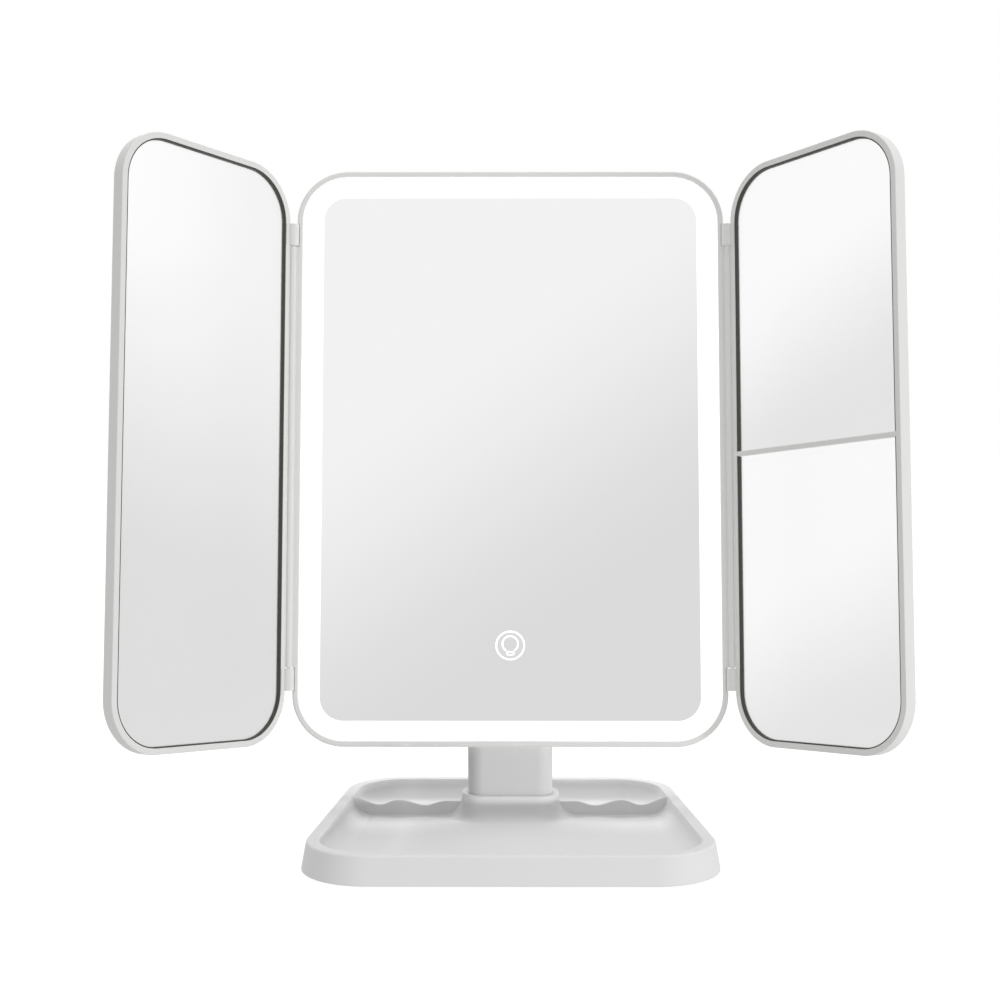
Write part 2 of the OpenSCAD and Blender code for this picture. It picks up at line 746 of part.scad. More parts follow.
module tilt_bracket() color(steel) in_head() difference() {
    union() {
        block([-bracket_w / 2, carrier_back, bracket_z[0]],
              [bracket_w / 2, carrier_back + bracket_t, bracket_z[1]]);
        for (s = [0, 1]) mirror([s, 0, 0]) {
            block([ear_x, carrier_back, pivot_v - ear_r], [ear_x + bracket_t, pivot_d, pivot_v + ear_r]);
            translate([ear_x, pivot_d, pivot_v]) rotate([0, 90, 0])
                cylinder(r = ear_r, h = bracket_t);
        }
    }
    translate([-bracket_w, pivot_d, pivot_v]) rotate([0, 90, 0])
        cylinder(r = bolt_r + 0.02, h = 2 * bracket_w);
    for (p = bracket_holes) depth_rod(p[0], p[1], screw_pass, 0, 20);
    depth_rod(spring_x, spring_z, 2, 0, 20);
}

module bracket_screws() color(steel) in_head()
    for (p = bracket_holes) {
        depth_rod(p[0], p[1], shank_r, diffuser_back + 1.2, carrier_back + bracket_t + 0.2);
        depth_rod(p[0], p[1], head_r - 0.1, carrier_back + bracket_t,
                  carrier_back + bracket_t + head_t + 0.1);
    }

module tilt_bolt() color(steel) in_head() translate([0, pivot_d, pivot_v]) rotate([0, 90, 0]) {
    half = ear_x + bracket_t;
    translate([0, 0, -half - 2.2]) cylinder(r = bolt_r * 1.8, h = 2.2);
    translate([0, 0, -half - 1]) cylinder(r = bolt_r, h = 2 * half + 4.6);
}

module tilt_nut() color(steel) in_head() translate([ear_x + bracket_t, pivot_d, pivot_v])
    rotate([0, 90, 0]) difference() {
        cylinder(r = bolt_r * 2, h = 3, $fn = 6);
        translate([0, 0, -1]) cylinder(r = bolt_r + 0.02, h = 5);
    }

module friction_washers() color("#e9e5d8") in_head()
    for (s = [0, 1]) mirror([s, 0, 0])
        translate([tongue_w / 2 + 0.05, pivot_d, pivot_v]) rotate([0, 90, 0]) difference() {
            cylinder(r = tongue_r - 0.2, h = washer_t);
            translate([0, 0, -1]) cylinder(r = bolt_r + 0.04, h = 3);
        }

module hinge_pins() color(steel) in_head()
    for (s = [0, 1], k = knuckles) mirror([s, 0, 0])
        let (middle = (k[0] + k[1]) / 2, up = k[0] < panel_h / 2 ? 1 : -1)
            translate([panel_w / 2 + hinge_gap, -hinge_proud, middle - pin_len / 2
                       + (up > 0 ? 4 : 0)])
                cylinder(r = pin_r, h = pin_len - 4);

// ---- wings ----

module wing_frame(bar) {
    inner = wing_rim;
    difference() {
        union() {
            difference() {
                wing_plate(0, 0, wing_depth);
                wing_plate(inner, -1, wing_depth + 1);
            }
            difference() {
                wing_plate(inner - 0.5, wing_glass_back + 0.6, wing_depth - wing_cover_t);
                wing_plate(inner + 1.2, 0, wing_depth);
            }
            for (k = knuckles) {
                translate([0, 0, k[0]]) cylinder(r = knuckle_r, h = knuckle_h);
                block([0, 0, k[0]], [hinge_gap + inner, knuckle_r - 0.2, k[1]]);
            }
            if (bar)
                block([hinge_gap + inner - 0.5, hinge_proud, panel_h / 2 - bar_w / 2],
                      [hinge_gap + wing_w - inner + 0.5, hinge_proud + wing_glass_back,
                       panel_h / 2 + bar_w / 2]);
        }
        for (k = knuckles) translate([0, 0, k[0] - 1])
            cylinder(r = pin_r + run_fit, h = knuckle_h + 2);
    }
}

module wing_gasket() {
    difference() {
        wing_plate(wing_rim + 0.05, 0.2, wing_recess);
        wing_plate(wing_rim + 0.05 + gasket_t, 0, wing_recess + 1);
    }
}

module wing_glass(z0, z1) {
    intersection() {
        wing_plate(wing_rim + fit, wing_recess, wing_glass_back);
        block([0, -5, z0], [wing_w + 10, 20, z1]);
    }
}

module wing_pad() {
    wing_plate(wing_rim + 6, wing_glass_back, wing_depth - wing_cover_t);
}

module wing_back() {
    wing_plate(wing_rim + fit, wing_depth - wing_cover_t, wing_depth);
}

module left_wing_frame() color(white) in_wing(-1, left_open) wing_frame(false);
module left_wing_gasket() color("#3a3a35") in_wing(-1, left_open) wing_gasket();
module left_wing_mirror() color("#dfe3e5") in_wing(-1, left_open) wing_glass(-1, panel_h + 1);
module left_wing_pad() color("#5a5a5a") in_wing(-1, left_open) wing_pad();
module left_wing_back() color(white) in_wing(-1, left_open) wing_back();
module right_wing_frame() color(white) in_wing(1, right_open) wing_frame(true);
module right_wing_gasket() color("#3a3a35") in_wing(1, right_open) difference() {
    wing_gasket();
    block([0, -5, (panel_h - bar_w) / 2 - 0.05], [wing_w + 10, 20, (panel_h + bar_w) / 2 + 0.05]);
}
module right_wing_mirror_upper() color("#dfe3e5")
    in_wing(1, right_open) wing_glass((panel_h + bar_w) / 2 + fit, panel_h + 1);
module right_wing_mirror_lower() color("#dfe3e5")
    in_wing(1, right_open) wing_glass(-1, (panel_h - bar_w) / 2 - fit);
module right_wing_pad() color("#5a5a5a") in_wing(1, right_open) wing_pad();
module right_wing_back() color(white) in_wing(1, right_open) wing_back();

tray_shell();
ballast_plate();
rubber_feet();
ballast_screws();
column_shell();
column_bolts();
tilt_tongue();
neck_screws();
centre_frame();
centre_mirror_glass();
light_diffuser();
led_board();
led_chips();
carrier_plate();
foam_strips();
touch_film();
touch_spring();
control_board();
usb_socket();
battery_box();
battery_contacts();
battery_cells();
wiring_leads();
back_cover();
cover_screws();
tilt_bracket();
bracket_screws();
tilt_bolt();
tilt_nut();
friction_washers();
hinge_pins();
battery_door();
left_wing_frame();
left_wing_gasket();
left_wing_mirror();
left_wing_pad();
left_wing_back();
right_wing_frame();
right_wing_gasket();
right_wing_mirror_upper();
right_wing_mirror_lower();
right_wing_pad();
right_wing_back();
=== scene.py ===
"""Looks of a lighted three-panel vanity mirror on a weighted organiser tray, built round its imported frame.

Sub-assemblies are drawn in millimetres in their own frames (tray, head, wing), then placed in the shared
frame in metres. Sections are swept round outlines, and joined by exact booleans where the real piece is one
moulding.
"""
import json
import logging
import math
from collections.abc import Sequence
from dataclasses import dataclass, field
from enum import Enum

import bmesh
import bpy
from mathutils import Euler, Matrix, Vector

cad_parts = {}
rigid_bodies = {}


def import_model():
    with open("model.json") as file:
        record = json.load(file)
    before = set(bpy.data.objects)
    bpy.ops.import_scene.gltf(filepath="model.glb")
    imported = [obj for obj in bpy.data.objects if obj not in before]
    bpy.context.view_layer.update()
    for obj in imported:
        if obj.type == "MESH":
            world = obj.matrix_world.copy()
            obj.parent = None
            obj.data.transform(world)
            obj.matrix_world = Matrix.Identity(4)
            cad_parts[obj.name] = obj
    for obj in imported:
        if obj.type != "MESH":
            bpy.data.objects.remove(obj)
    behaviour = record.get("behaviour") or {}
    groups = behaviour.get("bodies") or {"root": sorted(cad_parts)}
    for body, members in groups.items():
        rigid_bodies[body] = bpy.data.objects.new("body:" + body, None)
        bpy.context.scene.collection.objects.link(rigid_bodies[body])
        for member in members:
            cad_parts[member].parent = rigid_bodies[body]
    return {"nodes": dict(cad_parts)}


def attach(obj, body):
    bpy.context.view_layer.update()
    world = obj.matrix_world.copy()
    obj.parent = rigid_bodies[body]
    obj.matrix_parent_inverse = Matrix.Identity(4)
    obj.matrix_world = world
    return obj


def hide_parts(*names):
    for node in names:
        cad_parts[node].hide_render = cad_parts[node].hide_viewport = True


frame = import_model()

log = logging.getLogger("vanity_mirror")

Socket = bpy.types.NodeSocket
Tree = bpy.types.NodeTree

MM = 0.001
# Edges that turn more than this many degrees stay crisp
CREASE = 32.0
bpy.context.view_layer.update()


# ---- colour and nodes ----

def to_linear(code: str) -> tuple[float, float, float, float]:
    """Turn an sRGB hex colour into linear red, green, blue and alpha.

    Args:
        code: six hex digits with a leading #.

    Returns:
        The four linear values, with alpha 1.
    """
    parts = [int(code[i:i + 2], 16) / 255 for i in (1, 3, 5)]
    linear = [p / 12.92 if p <= 0.04045 else ((p + 0.055) / 1.055) ** 2.4 for p in parts]
    return (*linear, 1.0)


def add_node(tree: Tree, kind: str, settings: dict | None = None,
             links: dict | None = None) -> bpy.types.Node:
    """Add one node with its settings and its incoming links.

    Args:
        tree: the tree that takes the node.
        kind: the node's type.
        settings: values for the node's own properties, or for inputs by name or number.
        links: outputs that feed inputs, by the input's name or number.

    Returns:
        The new node.
    """
    node = tree.nodes.new(kind)
    for name, value in (settings or {}).items():
        if isinstance(name, str) and hasattr(node, name):
            setattr(node, name, value)
        else:
            node.inputs[name].default_value = value
    for name, source in (links or {}).items():
        tree.links.new(source, node.inputs[name])
    return node


def new_material(name: str) -> tuple[bpy.types.Material, Tree]:
    """Make an empty node material.

    Args:
        name: the material's name.

    Returns:
        The material and its node tree.
    """
    material = bpy.data.materials.new(name)
    material.use_nodes = True
    material.node_tree.nodes.clear()
    return material, material.node_tree


def surface(tree: Tree, settings: dict, links: dict | None = None) -> None:
    """Add a Principled surface and the output that shows it.

    Args:
        tree: the material's tree.
        settings: numbers and colours on the shader's own sockets.
        links: outputs that feed its varying inputs.
    """
    shader = add_node(tree, "ShaderNodeBsdfPrincipled", settings, links)
    add_node(tree, "ShaderNodeOutputMaterial", links={"Surface": shader.outputs[0]})


def object_place(tree: Tree) -> Socket:
    """Return the socket that gives a point's own place on the piece, in metres."""
    return add_node(tree, "ShaderNodeTexCoord").outputs["Object"]


def split_inputs(values: Sequence[object]) -> tuple[dict[int, object], dict[int, object]]:
    """Sort a node's inputs into numbers and sockets.

    Args:
        values: the inputs in order.

    Returns:
        The numbers, then the sockets, each by its place in the order.
    """
    numbers = {i: v for i, v in enumerate(values) if isinstance(v, (int, float))}
    return numbers, {i: v for i, v in enumerate(values) if i not in numbers}


def noise(tree: Tree, place: Socket, size_mm: float, detail: float = 2.0) -> Socket:
    """Return soft noise whose grains are about size_mm across."""
    return add_node(tree, "ShaderNodeTexNoise", {"Scale": 1 / (size_mm * MM), "Detail": detail},
                    {"Vector": place}).outputs[0]


def between(tree: Tree, value: Socket, low: float, high: float) -> Socket:
    """Return a value from 0 to 1 stretched to run from low to high."""
    return add_node(tree, "ShaderNodeMapRange", {"To Min": low, "To Max": high},
                    {"Value": value}).outputs[0]


def relief(tree: Tree, height: Socket, depth_mm: float, strength: float) -> Socket:
    """Return the normal of a fine relief."""
    return add_node(tree, "ShaderNodeBump", {"Strength": strength, "Distance": depth_mm * MM},
                    {"Height": height}).outputs[0]


def math_node(tree: Tree, operation: str, *values: float | Socket) -> Socket:
    """Add a Math node.

    Args:
        tree: the tree that takes the node.
        operation: the Math node's operation.
        values: its inputs in order, each a number or a socket.

    Returns:
        Its result.
    """
    numbers, feeds = split_inputs(values)
    return add_node(tree, "ShaderNodeMath", {"operation": operation, **numbers}, feeds).outputs[0]


def ease(tree: Tree, value: Socket, start: float, end: float) -> Socket:
    """Ease a value from 0 at start to 1 at end.

    Args:
        tree: the tree that takes the node.
        value: what is eased.
        start: where the result is 0.
        end: where the result is 1.

    Returns:
        The eased socket.
    """
    settings = {"interpolation_type": "SMOOTHSTEP", "From Min": start, "From Max": end}
    if start > end:
        settings.update({"From Min": end, "From Max": start, "To Min": 1.0, "To Max": 0.0})
    return add_node(tree, "ShaderNodeMapRange", settings, {"Value": value}).outputs["Result"]


def mix_colours(tree: Tree, share: Socket, first: str | Socket, second: str | Socket) -> Socket:
    """Blend two colours.

    Args:
        tree: the tree that takes the node.
        share: how much of the second colour shows.
        first: hex colour or socket at share 0.
        second: hex colour or socket at share 1.

    Returns:
        The blended colour.
    """
    settings, links = {"data_type": "RGBA"}, {0: share}
    for place, colour in ((6, first), (7, second)):
        if isinstance(colour, str):
            settings[place] = to_linear(colour)
        else:
            links[place] = colour
    return add_node(tree, "ShaderNodeMix", settings, links).outputs[2]


# ---- finishes ----

@dataclass(frozen=True)
class MouldedPlastic:
    """Injection-moulded plastic: an even colour, a satin spark-eroded grain and a faint flow mottle."""

    name: str
    colour: str
    roughness: float = 0.42
    ior: float = 1.54
    grain_mm: float = 0.35
    grain_depth_mm: float = 0.006
    mottle_mm: float = 30.0

    def material(self) -> bpy.types.Material:
        """Build the material; its grain breaks the gloss into a soft satin sheen."""
        material, tree = new_material(self.name)
        place = object_place(tree)
        grain = noise(tree, place, self.grain_mm)
        shade = between(tree, noise(tree, place, self.mottle_mm, 3.0), 0.97, 1.0)
        tint = add_node(tree, "ShaderNodeVectorMath", {"operation": "SCALE", 0: to_linear(self.colour)[:3]},
                        {"Scale": shade}).outputs[0]
        surface(tree, {"IOR": self.ior},
                {"Base Color": tint, "Normal": relief(tree, grain, self.grain_depth_mm, 0.5),
                 "Roughness": between(tree, grain, self.roughness - 0.05, self.roughness + 0.05)})
        return material


@dataclass(frozen=True)
class PlatedMetal:
    """Plated or rolled metal: bright, with fine drawn lines along one direction."""

    name: str
    colour: str = "#b9bcc0"
    roughness: float = 0.3
    line_mm: float = 0.4

    def material(self) -> bpy.types.Material:
        """Build the material; the drawn lines stretch its highlights a little."""
        material, tree = new_material(self.name)
        stretch = add_node(tree, "ShaderNodeMapping", {"Scale": (0.05, 1.0, 1.0)},
                           {"Vector": object_place(tree)})
        lines = noise(tree, stretch.outputs[0], self.line_mm, 4.0)
        surface(tree, {"Base Color": to_linear(self.colour), "Metallic": 1.0},
                {"Roughness": between(tree, lines, self.roughness - 0.08, self.roughness + 0.1),
                 "Normal": relief(tree, lines, 0.004, 0.25)})
        return material


@dataclass(frozen=True)
class SoftRubber:
    """Moulded rubber or closed foam: matt and dark, with a pebbled skin."""

    name: str
    colour: str
    pebble_mm: float = 0.5
    roughness: float = 0.85

    def material(self) -> bpy.types.Material:
        """Build the material; the pebbles scatter the light so that it looks dry."""
        material, tree = new_material(self.name)
        pebbles = add_node(tree, "ShaderNodeTexVoronoi", {"Scale": 1 / (self.pebble_mm * MM)},
                           {"Vector": object_place(tree)})
        surface(tree, {"Base Color": to_linear(self.colour), "Roughness": self.roughness, "IOR": 1.52},
                {"Normal": relief(tree, pebbles.outputs["Distance"], 0.05, 0.4)})
        return material


@dataclass(frozen=True)
class CircuitLacquer:
    """A lacquered circuit board: copper tracks show as slightly lighter lines under the lacquer."""

    name: str
    colour: str
    track: str
    track_mm: float = 1.6

    def material(self) -> bpy.types.Material:
        """Build the material; a thin clear coat gives the wet look of solder resist."""
        material, tree = new_material(self.name)
        cells = add_node(tree, "ShaderNodeTexVoronoi",
                         {"feature": "DISTANCE_TO_EDGE", "Scale": 1 / (self.track_mm * 3 * MM)},
                         {"Vector": object_place(tree)})
        tracks = ease(tree, cells.outputs["Distance"], 0.12, 0.08)
        surface(tree, {"Roughness": 0.35, "Coat Weight": 0.5, "Coat Roughness": 0.12, "IOR": 1.55},
                {"Base Color": mix_colours(tree, tracks, self.colour, self.track)})
        return material


@dataclass(frozen=True)
class OpalAcrylic:
    """Opal acrylic lit from behind: an even, milky white that glows."""

    name: str
    colour: str = "#ffffff"
    glow: float = 1.0
    cloud_mm: float = 8.0

    def material(self) -> bpy.types.Material:
        """Build the material; a faint cloud in the glow is the pigment in the sheet."""
        material, tree = new_material(self.name)
        cloud = noise(tree, object_place(tree), self.cloud_mm)
        surface(tree, {"Base Color": to_linear("#f4f4f2"), "Roughness": 0.5, "IOR": 1.49,
                       "Emission Color": to_linear(self.colour)},
                {"Emission Strength": between(tree, cloud, self.glow * 0.96, self.glow * 1.04)})
        return material


@dataclass(frozen=True)
class PaintedReflectionStep:
    """One soft step of a mirror's painted reflection, across a slanted line on the glass.

    The line is where up + slope * across is steady; the painted reflection eases from start to end along
    that sum, in mm.
    """

    slope: float
    start: float
    end: float


@dataclass(frozen=True)
class SilveredGlass:
    """Silvered float glass whose colour carries a painted reflection: a soft grey drift over the pane.

    The painted reflection runs from dark to light across step, and its light end turns to far by far_at mm
    across.
    Below split the painted reflection starts again, for a pane that is cut in two. A pane with a lit_half is
    frosted and glows outside that rounded rectangle, whose middle lies lit_centre mm up the pane.
    """

    name: str
    place: Matrix
    light: str
    dark: str
    step: PaintedReflectionStep
    far: str = ""
    far_at: float = 90.0
    roughness: float = 0.25
    split: float = 0.0
    lit_half: tuple[float, float] = (0.0, 0.0)
    lit_radius: float = 10.0
    lit_centre: float = 0.0
    glow: float = 1.0

    def pane_place(self, tree: Tree) -> dict[str, Socket]:
        """Return how far across and up the pane a point lies, in metres, in the pane's own frame."""
        turn = Matrix([list(row)[:3] for row in self.place.to_3x3().normalized()])
        offset = add_node(tree, "ShaderNodeVectorMath",
                          {"operation": "SUBTRACT", 1: self.place.translation},
                          {0: object_place(tree)}).outputs[0]
        return {key: add_node(tree, "ShaderNodeVectorMath", {"operation": "DOT_PRODUCT", 1: axis},
                              {0: offset}).outputs["Value"]
                for key, axis in (("across", turn.col[0]), ("up", turn.col[1]))}

    def material(self) -> bpy.types.Material:
        """Build the material; slightly blurred silver keeps the pane calm, its colour a painted reflection,
        and a lit border is frosted.
        """
        material, tree = new_material(self.name)
        spot = self.pane_place(tree)
        # Painted reflection: the silver's colour eases from dark to light grey along a slanted line,
        # restarting below split
        up = spot["up"]
        if self.split:
            low = math_node(tree, "LESS_THAN", up, self.split * MM)
            up = math_node(tree, "ADD", up, math_node(tree, "MULTIPLY", low, self.split * MM))
        run = math_node(tree, "ADD", up, math_node(tree, "MULTIPLY", spot["across"], self.step.slope))
        share = ease(tree, run, self.step.start * MM, self.step.end * MM)
        light: str | Socket = self.light
        if self.far:
            spread = ease(tree, spot["across"], 0.0, self.far_at * MM)
            light = mix_colours(tree, spread, self.light, self.far)
        painted_reflection = mix_colours(tree, share, self.dark, light)
        if not self.lit_half[0]:
            surface(tree, {"Metallic": 1.0, "Roughness": self.roughness}, {"Base Color": painted_reflection})
            return material
        reach, (half_across, half_up) = [], self.lit_half
        for key, half, middle in (("across", half_across, 0.0), ("up", half_up, self.lit_centre)):
            away = math_node(tree, "ABSOLUTE", math_node(tree, "SUBTRACT", spot[key], middle * MM))
            past = math_node(tree, "SUBTRACT", away, (half - self.lit_radius) * MM)
            reach.append(math_node(tree, "POWER", math_node(tree, "MAXIMUM", past, 0.0), 2.0))
        edge = math_node(tree, "SQRT", math_node(tree, "ADD", *reach))
        frost = ease(tree, edge, (self.lit_radius - 0.35) * MM, (self.lit_radius + 0.35) * MM)
        blur = math_node(tree, "ADD", math_node(tree, "MULTIPLY", frost, 0.3), self.roughness)
        surface(tree, {"Emission Color": to_linear("#ffffff")},
                {"Base Color": mix_colours(tree, frost, painted_reflection, "#f4f4f2"),
                 "Metallic": math_node(tree, "SUBTRACT", 1.0, frost), "Roughness": blur,
                 "Emission Strength": math_node(tree, "MULTIPLY", frost, self.glow)})
        return material


class Finish(Enum):
    """Every finish that is not tied to one pane's place."""

    # Warm white satin ABS, the look of a cosmetics case
    SHELL = MouldedPlastic("satin white ABS shell", "#dcdcda")
    # The stand is moulded in a slightly cooler white than the head
    STAND = MouldedPlastic("satin white ABS stand", "#dddddd")
    # Inside, where nobody looks, the plastic is plainer and a little greyer
    INNER = MouldedPlastic("white inner plastic", "#d6d6d2", roughness=0.5)
    NYLON = MouldedPlastic("grey glass-filled nylon", "#8d8f90", roughness=0.55, grain_mm=0.8,
                           grain_depth_mm=0.02)
    NATURAL = MouldedPlastic("natural nylon", "#e9e5d8", roughness=0.45)
    STEEL = PlatedMetal("zinc-plated steel")
    TIN = PlatedMetal("tinned spring steel", "#c9cbcc", roughness=0.22)
    COPPER = PlatedMetal("copper touch film", "#b8792f", roughness=0.35)
    RUBBER = SoftRubber("moulded dark rubber foot", "#3a3a39")
    GASKET = SoftRubber("dark glass gasket", "#3a3a35", pebble_mm=0.25, roughness=0.7)
    FOAM = SoftRubber("grey closed foam", "#6e6e6c", pebble_mm=0.9)
    BOARD = CircuitLacquer("green circuit board", "#2d6b45", "#3f8458")
    LIGHT_BOARD = CircuitLacquer("white light board", "#f0f0ea", "#dcdcd2")
    CHIP = OpalAcrylic("glowing light chip", "#fff7e2", glow=2.0)
    OPAL = OpalAcrylic("opal light guide", glow=1.0)
    SYMBOL = OpalAcrylic("lit touch symbol", glow=1.0)
    CELL = MouldedPlastic("printed cell jacket", "#4a4d52", roughness=0.3, mottle_mm=6.0)
    WIRE = MouldedPlastic("red wire jacket", "#b33a32", roughness=0.4)


_made: dict[str, bpy.types.Material] = {}


def material_of(finish: Finish | SilveredGlass) -> bpy.types.Material:
    """Return the material of a finish, built once.

    Args:
        finish: a named finish, or one that is tied to a pane.

    Returns:
        The material.
    """
    recipe = finish.value if isinstance(finish, Finish) else finish
    if recipe.name not in _made:
        _made[recipe.name] = recipe.material()
    return _made[recipe.name]


# ---- drawing in millimetres ----

def add_object(name: str, data: bpy.types.ID) -> bpy.types.Object:
    """Return a new object in the scene that holds some data."""
    thing = bpy.data.objects.new(name, data)
    bpy.context.scene.collection.objects.link(thing)
    return thing


def object_of(mesh: bmesh.types.BMesh, name: str) -> bpy.types.Object:
    """Return a new object in the scene with a copy of a mesh."""
    data = bpy.data.meshes.new(name)
    mesh.to_mesh(data)
    return add_object(name, data)


@dataclass(frozen=True)
class Outline:
    """A closed convex outline of arcs joined by straights.

    Each corner is the arc's centre and the two angles it runs between, in degrees, anticlockwise.
    """

    corners: tuple[tuple[float, float, float, float], ...]
    radius: float
    steps: int = 20
    guard: float = 0.8

    def samples(self) -> list[tuple[Vector, Vector]]:
        """Return a centre and an outward normal for every sample, guard samples beside each arc's ends."""
        spots: list[tuple[Vector, Vector]] = []
        for i, (x, y, start, end) in enumerate(self.corners):
            centre = Vector((x, y))
            for k in range(self.steps + 1):
                turn = math.radians(start + (end - start) * k / self.steps)
                spots.append((centre, Vector((math.cos(turn), math.sin(turn)))))
            onward = Vector(self.corners[(i + 1) % len(self.corners)][:2]) - centre
            if onward.length > 3 * self.guard:
                step = onward.normalized() * self.guard
                spots.append((centre + step, spots[-1][1]))
                spots.append((centre + onward - step, spots[-1][1]))
        return spots


def rounded_outline(width: float, height: float, radius: float, middle: tuple[float, float] = (0.0, 0.0),
                    steps: int = 20) -> Outline:
    """Return a rounded rectangle's outline.

    Args:
        width: its size across.
        height: its size the other way.
        radius: its corner radius.
        middle: its centre.
        steps: facets in each corner.

    Returns:
        The outline.
    """
    x, y = width / 2 - radius, height / 2 - radius
    corners = tuple((middle[0] + sx * x, middle[1] + sy * y, start, start + 90)
                    for sx, sy, start in ((1, -1, -90), (1, 1, 0), (-1, 1, 90), (-1, -1, 180)))
    return Outline(corners, radius, steps)


def soften(points: Sequence[tuple[float, float, float]], closed: bool = True, steps: int = 5
           ) -> list[tuple[float, float]]:
    """Round the corners of a section, each by its own radius.

    Args:
        points: out, height and radius of every corner.
        closed: whether the last corner runs on to the first.
        steps: facets in each rounded corner.

    Returns:
        The section's points, with a guard point beside each arc end so that flats stay flat when shaded.
    """
    out: list[tuple[float, float]] = []
    count = len(points)
    for i, (x, y, radius) in enumerate(points):
        spot = Vector((x, y))
        if radius <= 0 or (not closed and i in (0, count - 1)):
            out.append((x, y))
            continue
        before = Vector(points[i - 1][:2]) - spot
        after = Vector(points[(i + 1) % count][:2]) - spot
        opening = before.angle(after)
        reach = min(radius / math.tan(opening / 2), before.length * 0.48, after.length * 0.48)
        size = reach * math.tan(opening / 2)
        before, after = before.normalized(), after.normalized()
        centre = spot + (before + after).normalized() * (size / math.sin(opening / 2))
        arm = spot + before * reach - centre
        final = spot + after * reach - centre
        sweep = math.copysign(math.pi - opening, arm.x * final.y - arm.y * final.x)
        guard = min(0.2, reach * 0.5)
        out.append(tuple(spot + before * (reach + guard * 0.5)))
        for k in range(steps + 1):
            out.append(tuple(centre + Matrix.Rotation(sweep * k / steps, 2) @ arm))
        out.append(tuple(spot + after * (reach + guard * 0.5)))
    return out


class Join(Enum):
    """How one solid meets another."""

    UNITE = "UNION"
    CUT = "DIFFERENCE"


